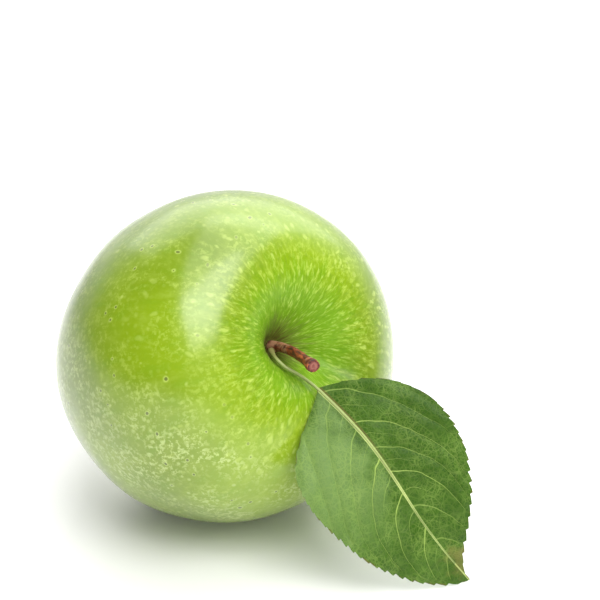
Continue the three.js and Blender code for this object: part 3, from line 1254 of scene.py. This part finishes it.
@dataclass(frozen=True)
class Core:
    """The line through the fruit from calyx to stem, and the frame that goes with it.

    Its heading is the turn from -Y towards X, and its rise the turn up from level.
    """

    centre: Triple = (1.13, 0.48, 37.92)
    heading: float = math.radians(40.4)
    rise: float = math.radians(25.7)

    def axes(self) -> Array:
        """The core frame's own directions.

        Returns:
            X, Y and Z as the rows of a matrix: Z points to the stem and X is level.
        """
        level, up = math.cos(self.rise), math.sin(self.rise)
        to_stem = np.array([level * math.sin(self.heading), -level * math.cos(self.heading), up])
        beside = unit(np.cross([0.0, 0.0, 1.0], to_stem))
        return np.stack([beside, np.cross(to_stem, beside), to_stem])

    def to_part(self, points: Array) -> Array:
        """Returns points of the core's frame in the part's frame, both in millimetres."""
        return points @ self.axes() + np.array(self.centre)


def about_core(reach: Array, side: Array | float, height: Array, azimuth: Array | float) -> Array:
    """Points in the core's frame, given by where they are about its line.

    Args:
        reach: The distance from the line, along the azimuth.
        side: The distance to the side of the azimuth.
        height: The height along the line.
        azimuth: The angle about the line.

    Returns:
        The points.
    """
    x = reach * np.cos(azimuth) + side * np.sin(azimuth)
    y = reach * np.sin(azimuth) - side * np.cos(azimuth)
    return np.stack([x, y, height], axis=-1)


@dataclass(frozen=True)
class Hollow:
    """A hollow at one end of the core, with a flat floor."""

    depth: float
    width: float
    sharpness: float
    floor: float

    def sunk(self, reach: Array) -> Array:
        """Returns how far the skin is sunk at a distance from the core's line."""
        return self.depth * np.exp(-((np.maximum(reach, self.floor) / self.width) ** self.sharpness))


@dataclass(frozen=True)
class RimPatch:
    """A raised or sunk patch on the rim of the stem cavity."""

    height: float
    azimuth: float
    spread: float
    reach: float
    width: float

    def over(self, reach: Array, azimuth: Array) -> Array:
        """The height that the patch adds.

        Args:
            reach: The distance from the core's line.
            azimuth: The angle about the core.

        Returns:
            The height at each point.
        """
        turned_away = bell(turn_between(azimuth, self.azimuth), self.spread)
        return self.height * turned_away * bell(reach - self.reach, self.width)


@dataclass
class Fruit:
    """The apple's body: skin and flesh in one piece, with its two hollows and its flat spot.

    Where the two ends differ, the stem end's number comes first.
    """

    core: Core
    radius: float = 39.6
    belly: float = 0.88
    half_height: Pair = (36.0, 37.0)
    roundness: Pair = (0.88, 0.9)
    taper: float = 0.04
    oval_depth: float = 0.018
    oval_azimuth: float = 0.2
    ribs: int = 5
    rib_depth: float = 0.012
    rib_azimuth: float = 0.4
    rib_at_belly: float = 0.35
    rib_at_ends: Pair = (0.6, 1.6)
    round_within: float = 8.0
    cavity: Hollow = Hollow(19.5, 9.5, 1.2, 1.75)
    basin: Hollow = Hollow(12.0, 8.5, 1.4, 3.4)
    groove: RimPatch = RimPatch(-3.0, math.radians(312), math.radians(26), 13.0, 8.0)
    lip: RimPatch = RimPatch(1.6, math.radians(245), math.radians(55), 12.0, 6.0)
    patches_within: float = 4.0
    around: int = 440
    along: int = 205
    gathering: float = 0.55
    unevenness: float = 0.16
    even_ends: Pair = (3.0, 14.0)
    puckers: tuple[int, int] = (17, 26)
    pucker_depth: Swelling = Swelling(0.22, 4.0, 7.0)
    folds: int = 11
    fold_depth: Swelling = Swelling(0.18, 4.0, 6.0)
    dash_width: float = 20.0

    def reach(self, polar: Array) -> Array:
        """Returns the distance from the core's line, before the ribs, at a polar angle."""
        return self.radius * np.abs(np.sin(polar)) ** self.belly * (1.0 + self.taper * np.cos(polar))

    def skin(self, polar: Array, azimuth: Array) -> Array:
        """The skin, in the core's frame.

        A superellipse turned about the core, a little oval and with five soft ribs. Its ends sink
        into the cavity and the basin, and the cavity's rim has a groove and a lip.

        Args:
            polar: The angle from the stem end, from 0 to pi.
            azimuth: The angle about the core.

        Returns:
            The points, in millimetres.
        """
        cos = np.cos(polar)
        reach = self.reach(polar)
        foot = np.clip((reach - self.cavity.floor) / self.patches_within, 0.0, 1.0)
        patches = foot * (self.groove.over(reach, azimuth) + self.lip.over(reach, azimuth))
        stem_half = self.half_height[0] * np.abs(cos) ** self.roundness[0] - self.cavity.sunk(reach)
        calyx_half = self.basin.sunk(reach) - self.half_height[1] * np.abs(cos) ** self.roundness[1]
        height = np.where(cos > 0.0, stem_half + patches, calyx_half)
        rib = self.rib_at_belly + np.where(cos > 0.0, *self.rib_at_ends) * cos**2
        unround = self.oval_depth * np.cos(2.0 * (azimuth - self.oval_azimuth))
        ribbed = self.rib_depth * rib * np.cos(self.ribs * (azimuth - self.rib_azimuth))
        unround = unround + ribbed
        radius = reach * (1.0 + unround * np.minimum(reach / self.round_within, 1.0))
        return about_core(radius, 0.0, height, azimuth)

    def above_wall(self, reach: float, azimuth: float, lift: float) -> Array:
        """The point that stands a height above the cavity's wall, in the part's frame.

        Args:
            reach: Its distance from the core's line.
            azimuth: Its angle about the core.
            lift: Its height above the skin.

        Returns:
            The point.
        """
        polar = math.asin((reach / (self.radius * (1.0 + self.taper))) ** (1.0 / self.belly))
        step = 1e-3
        polars = np.array([polar, polar + step, polar])
        corner, outward, around = self.skin(polars, np.array([azimuth, azimuth, azimuth + step]))
        normal = unit(np.cross(outward - corner, around - corner))
        return self.core.to_part(corner + normal * lift)

    def floor(self, end: End) -> float:
        """Returns the height of the hollow's floor at one end, in the core's frame."""
        return float(self.skin(np.array(end.value), np.array(0.0))[2])

    def unevenly(self, points: Array, polar: Array, azimuth: Array) -> Array:
        """Adds the fine unevenness of a real fruit, which fades at both ends of the core.

        Slow waves lie all over. The basin's wall is puckered by main and finer ridges that run out
        from the calyx, and the cavity's wall has shallow folds. They are sines of the azimuth, and
        all but the finer ridges are unevenly spaced by a slower sine inside them.

        Args:
            points: The smooth skin, in the core's frame.
            polar: The angle of each point from the stem end.
            azimuth: The angle of each point about the core.

        Returns:
            The uneven skin.
        """
        reach = self.reach(polar)
        slow = wavelets(points, seed=3, count=24, wavelength=22.0)
        swell = self.unevenness * slow * smooth_step(reach, *self.even_ends)
        main, fine = self.puckers
        ridges = np.sin(main * azimuth + 1.3 * np.sin(3.0 * azimuth))
        ridges = ridges + 0.6 * np.sin(fine * azimuth + 2.0)
        puckers = ridges * self.pucker_depth.over(reach)
        waves = np.sin(self.folds * azimuth + 2.0 * np.sin(2.0 * azimuth))
        folds = waves * self.fold_depth.over(reach)
        height = swell + np.where(np.cos(polar) < 0.0, puckers, folds)
        return points + unit(points) * height[..., None]

    def surface(self) -> Surface:
        """Works out the whole skin on a grid of meridians, gathered closer at both ends.

        Returns:
            The closed surface, with the coordinates that its finish follows.
        """
        row = np.linspace(0.0, 1.0, self.along + 1)
        polar = math.pi * (row - self.gathering / TAU * np.sin(TAU * row))
        angle = angles_round(self.around)
        polar_grid, azimuth = np.meshgrid(polar, angle, indexing="ij")
        points = self.unevenly(self.skin(polar_grid, azimuth), polar_grid, azimuth)
        steps = np.linalg.norm(np.diff(points, axis=0), axis=-1)
        from_stem = np.vstack([np.zeros(self.around), np.cumsum(steps, axis=0)])
        lines = [self.dash_width * np.cos(azimuth), self.dash_width * np.sin(azimuth), from_stem]
        reach = np.hypot(points[..., 0], points[..., 1])
        stem_half = np.cos(polar_grid) > 0.0
        placed = self.core.to_part(points)
        placed[..., 2] = np.maximum(placed[..., 2], 0.0)
        return Surface(
            "apple_fruit",
            with_poles(placed),
            ball_faces(self.along - 1, self.around),
            numbers={
                "from_stem": with_poles(from_stem),
                "stem_reach": with_poles(np.where(stem_half, reach, self.radius)),
                "calyx_reach": with_poles(np.where(stem_half, self.radius, reach)),
            },
            places={"skin_lines": with_poles(np.stack(lines, axis=-1))},
        )

    def build(self) -> None:
        """Makes the fruit in its skin."""
        self.surface().build(SkinFinish().material(), "skin", ("fruit",))


# ------------------------------------------------------------------------------ the stem


@dataclass
class Stem:
    """The woody stem: it stands on the cavity's floor, leans over the rim and ends in a cut knob."""

    fruit: Fruit
    radius: float = 1.12
    foot_flare: Swelling = Swelling(0.33, 0.1)
    knob: Swelling = Swelling(0.36, 0.13)
    lean: tuple[Triple, Triple] = ((0.2, -0.7, 25.7), (-2.0, -3.3, 31.5))
    end: Triple = (-4.8, -5.7, 39.2)
    gap: float = 0.3
    ridge_depth: float = 0.055
    ridge_stretch: Triple = (2.4, 2.4, 0.5)
    lump_depth: float = 0.05
    ring: Swelling = Swelling(0.1, 0.012, 0.955)
    furrow: Swelling = Swelling(-0.08, 0.014, 0.925)
    rounded_edge: float = 0.93
    dish_depth: float = 0.22
    pith: Swelling = Swelling(0.16, 0.35)
    rows: int = 120
    around: int = 56
    cap_rings: int = 8

    def barked(self, t: Array, place: Array) -> Array:
        """The stem's radius all over, with the relief of its bark.

        It flares at the foot and swells to the knob. Ridges run along it, lumps lie all over it, and
        a ring and a furrow go round it just below the cut.

        Args:
            t: How far along the stem each ring is, from 0 to 1.
            place: Where each point is on the stem made straight.

        Returns:
            The radii, as an array of (rings, around).
        """
        radius = self.radius + self.foot_flare.over(t) + self.knob.over(1.0 - t)
        stretched = place * np.array(self.ridge_stretch)
        ridges = wavelets(stretched, seed=11, count=18, wavelength=3.0)
        lumps = wavelets(place, seed=12, count=14, wavelength=3.4)
        ring = self.ring.over(t) + self.furrow.over(t)
        rough = radius[:, None] * (1.0 + self.ridge_depth * ridges + self.lump_depth * lumps)
        rough = rough + ring[:, None]
        rough[-1] *= self.rounded_edge
        return rough

    def cut_face(self, path: Array, edge: Array, share: Array) -> Array:
        """The cut face: rings that shrink to its middle, dished, with a raised pith.

        Args:
            path: The middle of each of the stem's rings.
            edge: The stem's last ring of points.
            share: The size of each ring of the cut face, as a share of the last ring's.

        Returns:
            The points, as an array of (rings, around, 3).
        """
        facing = unit(path[-1] - path[-2])
        height = self.pith.over(share) - self.dish_depth * (1.0 - share**2)
        return path[-1] + (edge - path[-1]) * share[:, None, None] + facing * height[:, None, None]

    def surface(self) -> Surface:
        """Carries rings along the stem's curve and closes both ends.

        Returns:
            The closed surface, with the coordinates that the bark follows.
        """
        foot = (0.0, 0.0, self.fruit.floor(End.STEM) + self.gap)
        t = np.linspace(0.0, 1.0, self.rows)
        path = bezier([foot, *self.lean, self.end], t)
        length = lengths_along(path)
        place = wound_place(length, self.around, radius=1.0)
        rings = carried_rings(path, self.barked(t, place), self.around, start=(0.0, 1.0, 0.0))
        share = np.linspace(1.0, 0.0, self.cap_rings + 1)[1:-1]
        points = np.concatenate([rings, self.cut_face(path, rings[-1], share)])
        face_place = place[-1] * share[:, None, None]
        face_place[..., 2] = length[-1]
        each_ring = {
            "along": np.concatenate([t, np.ones_like(share)]),
            "cut": np.concatenate([np.zeros_like(t), np.ones_like(share)]),
            "cut_reach": np.concatenate([np.ones_like(t), share]),
        }
        return Surface(
            "apple_stem",
            self.fruit.core.to_part(points),
            tube_faces(len(points), self.around),
            numbers={name: np.repeat(values, self.around) for name, values in each_ring.items()},
            places={"bark_place": np.concatenate([place, face_place])},
        )

    def build(self) -> None:
        """Makes the stem in its bark."""
        self.surface().build(BarkFinish().material(), "stem_bark", ("stem",))


# ------------------------------------------------------------------------------ the leaf


@dataclass(frozen=True)
class Half:
    """One half of the blade, to the left or the right of the midrib.

    Its side veins are given by where they start along the midrib, and by how plainly they show.
    """

    width: float
    base: float
    base_sharpness: float
    tip: float
    tip_sharpness: float
    vein_starts: tuple[float, ...]
    vein_strengths: tuple[float, ...]
    vein_lean: float = 0.35
    vein_bend: float = 0.075
    more_bend: Pair = (26.0, 14.0)
    first_gap: float = 5.0

    def reach(self, t: Array) -> Array:
        """Returns the half's width at a fraction of the blade's length."""
        base = 1.0 - np.exp(-((t / self.base) ** self.base_sharpness))
        return self.width * base * (1.0 - t**self.tip) ** self.tip_sharpness

    def vein_phase(self, along: Array, out: Array) -> Array:
        """A number that is whole along each side vein.

        A side vein leaves the midrib at about 70 degrees and bends towards the tip as the square of
        its distance from the midrib, more so where the blade narrows.

        Args:
            along: The distance along the midrib, in millimetres.
            out: The distance from the midrib.

        Returns:
            The phase: 0 along the first vein, 1 along the second, and so on.
        """
        begins, doubled_after = self.more_bend
        bend = 1.0 + (np.maximum(along - begins, 0.0) / doubled_after) ** 2
        start = along - self.vein_lean * out - self.vein_bend * bend * out**2
        starts = (self.vein_starts[0] - self.first_gap, *self.vein_starts)
        return np.interp(start, starts, (-0.5, *range(len(self.vein_starts))))

    def vein_strength(self, phase: Array) -> Array:
        """Returns how plainly the veins show at a phase."""
        return np.interp(phase, range(len(self.vein_strengths)), self.vein_strengths)


@dataclass
class Leaf:
    """The leaf: its stalk climbs the cavity's wall, then the blade hangs down to the table.

    Its base and tip are places in the part's frame. The stalk's route is given by the distance from
    the core's line and the azimuth in degrees, above the skin.
    """

    fruit: Fruit
    base: Triple = (22.8, -26.4, 42.0)
    tip: Triple = (57.1, -39.3, 0.6)
    roll: float = math.radians(51.7)
    thickness: float = 0.36
    arch: float = 6.0
    fold: Pair = (0.12, 1.4)
    bend: float = 0.9
    right: Half = Half(
        width=19.4,
        base=0.13,
        base_sharpness=0.92,
        tip=5.0,
        tip_sharpness=2.3,
        vein_starts=(-8.0, 1.0, 10.3, 17.5, 24.0, 33.0, 42.0, 50.0, 57.0, 64.0),
        vein_strengths=(0.5, 0.6, 1.0, 0.6, 1.0, 0.45, 0.4, 0.35, 0.3, 0.3),
    )
    left: Half = Half(
        width=20.9,
        base=0.128,
        base_sharpness=1.4,
        tip=2.43,
        tip_sharpness=0.75,
        vein_starts=(-5.0, 4.0, 12.0, 20.0, 29.0, 39.0, 47.5, 55.0, 62.0, 69.0),
        vein_strengths=(0.35, 0.4, 0.55, 1.0, 1.0, 0.85, 0.5, 0.4, 0.3, 0.3),
    )
    least: float = 0.25
    teeth: int = 27
    tooth_depth: float = 0.48
    tooth_lean: float = 0.55
    tooth_climb: float = 0.8
    tooth_drop: float = 0.2
    usual_tooth: float = 0.75
    tooth_variety: float = 0.4
    left_offset: float = 0.45
    full_teeth_from: float = 5.0
    bulge: float = 0.3
    bulge_middle: float = 0.4
    bulge_ends: tuple[Pair, Pair] = ((0.3, 3.0), (0.0, 2.5))
    wave: float = 0.45
    wave_lengths: Pair = (19.0, 7.5)
    wave_turns: Pair = (0.8, 2.6)
    full_waves_from: float = 8.0
    cockle: float = 0.12
    calm_base: float = 5.0
    thin_edge: float = 0.45
    rows: int = 271
    columns: int = 151
    stalk_radius: Pair = (0.5, 0.12)
    stalk_flare: Swelling = Swelling(0.35, 0.02)
    stalk_groove: Swelling = Swelling(0.12, 0.5)
    stalk_lift: float = 1.05
    stalk_route: tuple[Pair, ...] = (
        (3.6, 196.0),
        (5.6, 214.0),
        (6.7, 233.0),
        (7.6, 247.0),
        (9.2, 258.0),
    )
    midrib_end: float = 0.9
    midrib_points: int = 8
    stalk_rows: int = 220
    stalk_around: int = 24

    def axes(self) -> tuple[float, Array, Array, Array]:
        """Works out the blade's own directions.

        Returns:
            Its length, and the directions along it, across it to the right and off its face.
        """
        span = np.subtract(self.tip, self.base)
        along = unit(span)
        level = unit(np.cross([0.0, 0.0, 1.0], along))
        across = math.cos(self.roll) * level + math.sin(self.roll) * np.cross(along, level)
        return float(np.linalg.norm(span)), along, across, np.cross(along, across)

    def at(self, t: Array, side: Array, lift: Array | float) -> Array:
        """A point of the blade: an arched sheet with its two halves folded up from the midrib.

        The arch is a parabola along the blade and the fold a hyperbola across it, and the whole
        sways to the side as one turn of a sine.

        Args:
            t: How far from the base to the tip, from 0 to 1.
            side: The distance from the midrib, to the right.
            lift: The height off the face.

        Returns:
            The point in the part's frame.
        """
        length, along, across, face = self.axes()
        slope, round_off = self.fold
        folded = slope * (np.hypot(side, round_off) - round_off)
        rise = 4.0 * self.arch * t * (1.0 - t) + folded + lift
        sway = side + self.bend * np.sin(TAU * t)
        on_chord = np.array(self.base) + (t * length)[..., None] * along
        return on_chord + sway[..., None] * across + rise[..., None] * face

    def laid_flat(self, t: Array, s: Array) -> tuple[Array, Array, Array]:
        """The blade's grid laid flat, its edge cut into saw teeth that lean towards the tip.

        A tooth climbs slowly to its peak and drops quickly after it. Their depths vary by a sine of
        the tooth's number, and only the outermost columns are moved.

        Args:
            t: How far along the blade each row is, from 0 to 1.
            s: How far out each column is, from -1 at the left edge to 1 at the right.

        Returns:
            The width of the half that each point is on, the point's distance from the midrib to the
            right, and how far along the blade it is, from 0 to 1.
        """
        right = s >= 0.0
        half = np.where(right, self.right.reach(t), self.left.reach(t))
        saw = (t * self.teeth + np.where(right, 0.0, self.left_offset)) % 1.0
        climbed = (saw / self.tooth_climb) ** 0.75
        tooth = np.where(saw < self.tooth_climb, climbed, (1.0 - saw) / self.tooth_drop)
        turn = 5.3 * np.floor(t * self.teeth) + np.where(right, 0.0, 2.0)
        ragged = self.usual_tooth + self.tooth_variety * np.sin(turn)
        at_edge = np.abs(s) ** 14 * np.clip(half / self.full_teeth_from, 0.0, 1.0)
        cut = self.tooth_depth * ragged * (1.0 - tooth) * at_edge
        side = s * np.maximum(half, self.least) - np.sign(s) * cut
        return half, side, t + self.tooth_lean * tooth * at_edge / self.axes()[0]

    def lifted(self, s: Array, half: Array, place: Array, phase: Array) -> Array:
        """How far the sheet rises: it bulges between its veins, its margin waves, and it cockles.

        The bulges are a sine of the phase, rounded off to nothing at the midrib and the margin. The
        waves are a long and a short sine along the blade that grow as the cube of s.

        Args:
            s: How far out each point is, from -1 at the left edge to 1 at the right.
            half: The width of the half that each point is on.
            place: Each point's place on the blade laid flat.
            phase: The side veins' phase.

        Returns:
            The height off the smooth sheet.
        """
        out = np.abs(place[..., 0])
        along = place[..., 1]
        at_midrib, at_margin = self.bulge_ends
        pillow = np.abs(np.sin(math.pi * phase)) ** 0.7 * smooth_step(out, *at_midrib)
        pillow = pillow * smooth_step(half - out, *at_margin)
        long, short = self.wave_lengths
        ruffle = np.sin(TAU * along / long + np.where(s >= 0.0, *self.wave_turns))
        ruffle = ruffle + 0.5 * np.sin(TAU * along / short + 1.0)
        ruffle = ruffle * np.abs(s) ** 3 * np.clip(half / self.full_waves_from, 0.0, 1.0)
        cockle = self.cockle * wavelets(place, seed=21, count=20, wavelength=9.0)
        lift = self.bulge * (pillow - self.bulge_middle) + self.wave * ruffle + cockle
        return lift * smooth_step(along, 0.0, self.calm_base)

    def blade(self) -> Surface:
        """Makes the blade as one closed sheet, an upper and a lower face joined at the edge.

        Returns:
            The surface, with the coordinates that the veins follow.
        """
        share = np.sin(math.pi / 2.0 * np.linspace(-1.0, 1.0, self.columns))
        t, s = np.meshgrid(np.linspace(0.0, 1.0, self.rows), share, indexing="ij")
        half, side, forward = self.laid_flat(t, s)
        along = forward * self.axes()[0]
        out = np.abs(side)
        place = np.stack([side, along, np.zeros_like(side)], axis=-1)
        right = self.right.vein_phase(along, out)
        left = self.left.vein_phase(along, out)
        strength = np.where(s >= 0.0, self.right.vein_strength(right), self.left.vein_strength(left))
        lift = self.lifted(s, half, place, np.where(s >= 0.0, right, left))
        thick = 0.5 * self.thickness * (1.0 - self.thin_edge * np.abs(s) ** 6)
        upper = self.at(forward, side, lift + thick)
        lower = self.at(forward, side, lift - thick)
        return Surface(
            "apple_leaf_blade",
            both_faces(upper, lower),
            turned(sheet_faces(self.rows, self.columns)),
            numbers={
                "vein_right": there_and_back(right),
                "vein_left": there_and_back(left),
                "inside": there_and_back(half - out),
                "vein_strength": there_and_back(strength),
                "under": both_faces(np.zeros_like(side), np.ones_like(side)),
            },
            places={"leaf_place": there_and_back(place)},
        )

    def stalk(self) -> Surface:
        """Makes the stalk and the midrib, one tapering bar from the stem's foot to near the tip.

        Its radius shrinks as a power of the length that is left, flares at the foot, and has a
        shallow groove along the top.

        Returns:
            The surface, closed at both ends.
        """
        route = [
            self.fruit.above_wall(reach, math.radians(azimuth), self.stalk_lift)
            for reach, azimuth in self.stalk_route
        ]
        stations = np.linspace(0.0, self.midrib_end, self.midrib_points)
        midrib = self.at(stations, np.zeros_like(stations), 0.0)
        path = through_points(np.vstack([route, midrib]), np.linspace(0.0, 1.0, self.stalk_rows))
        length = lengths_along(path)
        share = length / length[-1]
        thick, thin = self.stalk_radius
        radius = thin + (thick - thin) * (1.0 - share) ** 1.6 + self.stalk_flare.over(share)
        from_top = turn_between(angles_round(self.stalk_around), math.pi / 2.0)
        grooved = radius[:, None] * (1.0 - self.stalk_groove.over(from_top))
        rings = carried_rings(path, grooved, self.stalk_around, start=(0.0, 0.0, 1.0))
        return Surface(
            "apple_leaf_stalk",
            rings,
            tube_faces(self.stalk_rows, self.stalk_around),
            numbers={"along": np.repeat(share, self.stalk_around)},
            places={"bark_place": wound_place(length, self.stalk_around, radius=0.6)},
        )

    def build(self) -> None:
        """Makes the blade and the stalk in their finishes."""
        self.blade().build(LeafFinish().material(), "leaf_blade", ("leaf",))
        self.stalk().build(StalkFinish().material(), "leaf_blade")


# ------------------------------------------------------------------------------ the calyx


@dataclass
class Calyx:
    """The dried flower at the far end of the core: five sepals round a tuft of stamens."""

    fruit: Fruit
    count: int = 5
    curl: tuple[Pair, Pair, Pair] = ((2.8, 0.0), (1.2, 3.4), (4.8, 4.4))
    half_width: float = 1.45
    taper: float = 1.6
    tip: float = 0.12
    thickness: float = 0.34
    twist: float = 0.25
    wrinkling: Pair = (0.16, 0.08)
    wrinkle_grid: Triple = (1.4, 5.0, 7.0)
    cupping: float = 0.35
    thin_edge: float = 0.6
    thin_tip: float = 0.5
    first_seed: int = 31
    rows: int = 60
    columns: int = 25
    gap: float = 0.3
    tuft_radius: float = 1.3
    tuft_height: float = 1.0
    tuft_dome: float = 0.9
    tuft_grid: tuple[int, int] = (12, 28)
    threads: int = 13
    thread_radius: float = 0.14
    thread_length: float = 3.3
    thread_seed: int = 41
    thread_foot: float = 0.5
    thread_grid: tuple[int, int] = (14, 8)
    thread_turn: float = 0.382
    planted_within: float = 0.8
    leans: Pair = (0.05, 0.5)
    bends: Pair = (-0.6, 0.6)
    lengths: Pair = (0.75, 1.0)
    knob: Swelling = Swelling(1.2, 0.08, 0.93)
    sepal_finish: DriedFinish = DriedFinish("dried_sepal", "#9a7f52", "#4c3a22")
    stamen_finish: DriedFinish = DriedFinish("dried_stamen", "#6b4e2e", "#2c1d12")

    def foot(self) -> float:
        """Returns the height that the dried parts stand on, in the core's frame."""
        return self.fruit.floor(End.CALYX) - self.gap

    def sepal(self, number: int) -> Surface:
        """Makes one sepal: a pointed strip that stands in, then curls out, wrinkled as it dried.

        Its middle line is a Bezier curve of reach and height. It is cupped across by the square of
        s, narrows to its tip by a power of t, and twists about the core by the square of t.

        Args:
            number: Which of the sepals, from 0.

        Returns:
            The surface, closed at its edges and ends.
        """
        rows = np.linspace(0.0, 1.0, self.rows)
        t, s = np.meshgrid(rows, np.linspace(-1.0, 1.0, self.columns), indexing="ij")
        middle = bezier(self.curl, t)
        slope = unit(np.gradient(middle, axis=0))
        strip = np.stack([s, t, np.full_like(s, number)], axis=-1) * np.array(self.wrinkle_grid)
        wrinkle = wavelets(strip, seed=self.first_seed + number, count=16, wavelength=1.6)
        cup = self.wrinkling[0] * wrinkle - self.cupping * s**2 * (1.0 - t)
        half = np.maximum(self.half_width * (1.0 - t**self.taper), self.tip)
        side = s * half * (1.0 + self.wrinkling[1] * wrinkle)
        thinner = (1.0 - self.thin_edge * np.abs(s) ** 4) * (1.0 - self.thin_tip * t)
        thick = 0.5 * self.thickness * thinner
        azimuth = TAU * number / self.count + self.twist * t**2
        inner, outer = (
            about_core(
                middle[..., 0] + off * slope[..., 1],
                side,
                self.foot() - middle[..., 1] + off * slope[..., 0],
                azimuth,
            )
            for off in (cup + thick, cup - thick)
        )
        points = self.fruit.core.to_part(both_faces(inner, outer))
        faces = sheet_faces(self.rows, self.columns)
        return Surface(f"apple_sepal_{number + 1}", points, faces)

    def tuft_foot(self) -> Array:
        """Makes the low domed foot of the tuft.

        The square of its radius falls as the cube of the way down.

        Returns:
            Its rings of points, in the core's frame.
        """
        rows, around = self.tuft_grid
        down = np.linspace(0.0, 1.0, rows)
        height = self.foot() - self.tuft_height * down
        path = about_core(np.zeros_like(down), 0.0, height, 0.0)
        radius = self.tuft_radius * np.sqrt(1.0 - self.tuft_dome * down**3)
        return carried_rings(path, radius, around, start=(1.0, 0.2, 0.0))

    def thread(self, number: int, random: np.random.Generator) -> Array:
        """Makes one stamen: a thin bent thread with a knob near its end.

        The threads are planted in a spiral, a fixed turn after each other, out to near the rim.

        Args:
            number: Which of the threads, from 0.
            random: What its lean, bend and length are drawn from.

        Returns:
            Its rings of points, in the core's frame.
        """
        ring = self.tuft_radius * self.planted_within * math.sqrt((number + 0.5) / self.threads)
        lean = random.uniform(*self.leans)
        bend = random.uniform(*self.bends)
        tall = self.thread_length * random.uniform(*self.lengths)
        rows, around = self.thread_grid
        u = np.linspace(0.0, 1.0, rows)
        height = self.foot() - self.thread_foot - (tall - self.thread_foot) * u
        azimuth = TAU * number * self.thread_turn + bend * u**2
        path = about_core(ring + lean * tall * u**1.5, 0.0, height, azimuth)
        radius = self.thread_radius * (1.0 + self.knob.over(u))
        return carried_rings(path, radius, around, start=(1.0, 0.2, 0.0))

    def stamens(self) -> Surface:
        """Makes the tuft of stamens.

        Returns:
            All of it in one surface, each thread closed at both ends.
        """
        random = np.random.default_rng(self.thread_seed)
        tubes = [self.tuft_foot()] + [self.thread(i, random) for i in range(self.threads)]
        faces: list[Face] = []
        start = 0
        for rings in tubes:
            count, around = rings.shape[:2]
            faces += tube_faces(count, around, start)
            start += count * around
        points = np.concatenate([rings.reshape(-1, 3) for rings in tubes])
        return Surface("apple_stamens", self.fruit.core.to_part(points), faces)

    def build(self) -> None:
        """Makes the sepals and the stamens in their dried finishes."""
        dried = self.sepal_finish.material()
        for number in range(self.count):
            self.sepal(number).build(dried, "dried_sepal", (f"sepal_{number + 1}",))
        self.stamens().build(self.stamen_finish.material(), "dried_stamen", ("stamens",))


# ------------------------------------------------------------------------------ the studio


@dataclass(frozen=True)
class Lamp:
    """A soft box of light and what it is turned to, in metres."""

    name: str
    place: Triple
    size: Pair
    watts: float
    aim: Triple = (0.0, 0.0, 0.035)
    mirrored: bool = True

    def hang(self) -> None:
        """Hangs the lamp, turned to its aim."""
        light = bpy.data.lights.new(self.name, "AREA")
        light.shape = "RECTANGLE"
        light.size, light.size_y = self.size
        light.energy = self.watts
        hung = put_in_scene(self.name, light)
        hung.visible_glossy = self.mirrored
        hung.location = self.place
        towards = Vector(self.aim) - Vector(self.place)
        hung.rotation_euler = towards.to_track_quat("-Z", "Y").to_euler()


@dataclass
class Studio:
    """The white table, the soft boxes, the bright surroundings and the camera, in metres."""

    table_half: float = 3.0
    lamps: tuple[Lamp, ...] = (
        Lamp("overhead_box", (0.36, -0.08, 1.0), (1.0, 1.7), 12.4, (0.36, -0.08, 0.0)),
        Lamp("front_box", (0.248, -0.467, 0.728), (0.64, 0.6), 5.5),
        Lamp("back_box", (0.02, 0.60, 0.64), (1.4, 0.7), 4.3),
        Lamp("front_fill", (0.25, -0.9, 0.22), (0.9, 0.4), 3.3, mirrored=False),
    )
    backdrop: Triple = (0.2, 0.98, 0.1)
    brightening: Fade = Fade(0.2, 0.85, start=0.2)
    eye: Triple = (0.018996, -0.346812, 0.192749)
    pitch: float = math.radians(22.0)
    lens: float = 95.22
    sensor: float = 36.0

    def lay_table(self) -> None:
        """Lays the tabletop, a level sheet that isn't part of the apple."""
        size = self.table_half
        mesh = bpy.data.meshes.new("table")
        corners = [(-size, -size, 0.0), (size, -size, 0.0), (size, size, 0.0), (-size, size, 0.0)]
        mesh.from_pydata(corners, [], [(0, 1, 2, 3)])
        mesh.materials.append(TableFinish().material())
        put_in_scene("table", mesh)

    def light_surroundings(self) -> None:
        """Lights the surroundings in white, brighter towards the backdrop than from the front."""
        world = bpy.data.worlds.new("white_room")
        world.use_nodes = True
        make = NodeTree(world.node_tree)
        towards = make.along(make.add("TexCoord", {}).outputs["Generated"], self.backdrop)
        sky = world.node_tree.nodes["Background"]
        make.feed(sky.inputs["Color"], (1.0, 1.0, 1.0))
        make.feed(sky.inputs["Strength"], make.ramp(towards, self.brightening))
        bpy.context.scene.world = world

    def set_camera(self) -> None:
        """Sets the camera, which looks along +Y and down by the pitch."""
        camera = bpy.data.cameras.new("camera")
        camera.sensor_width = self.sensor
        camera.lens = self.lens
        stand = put_in_scene("camera", camera)
        stand.location = self.eye
        stand.rotation_euler = (math.pi / 2.0 - self.pitch, 0.0, 0.0)
        bpy.context.scene.camera = stand

    def build(self) -> None:
        """Sets up the whole studio, with plain colour handling."""
        self.lay_table()
        for lamp in self.lamps:
            lamp.hang()
        self.light_surroundings()
        self.set_camera()
        bpy.context.scene.view_settings.view_transform = "Standard"
        log.info("studio: table, %d soft boxes, surroundings and camera", len(self.lamps))


# ------------------------------------------------------------------------------ the apple


def write_sizes() -> None:
    """Updates the view layer."""
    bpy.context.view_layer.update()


def main() -> None:
    """Builds the apple piece by piece, then its studio."""
    logging.basicConfig(level=logging.INFO, format="%(message)s")
    fruit = Fruit(Core())
    for part in (fruit, Stem(fruit), Leaf(fruit), Calyx(fruit)):
        part.build()
        log.info("built the %s", type(part).__name__.lower())
    Studio().build()
    write_sizes()


if __name__ == "__main__":
    main()
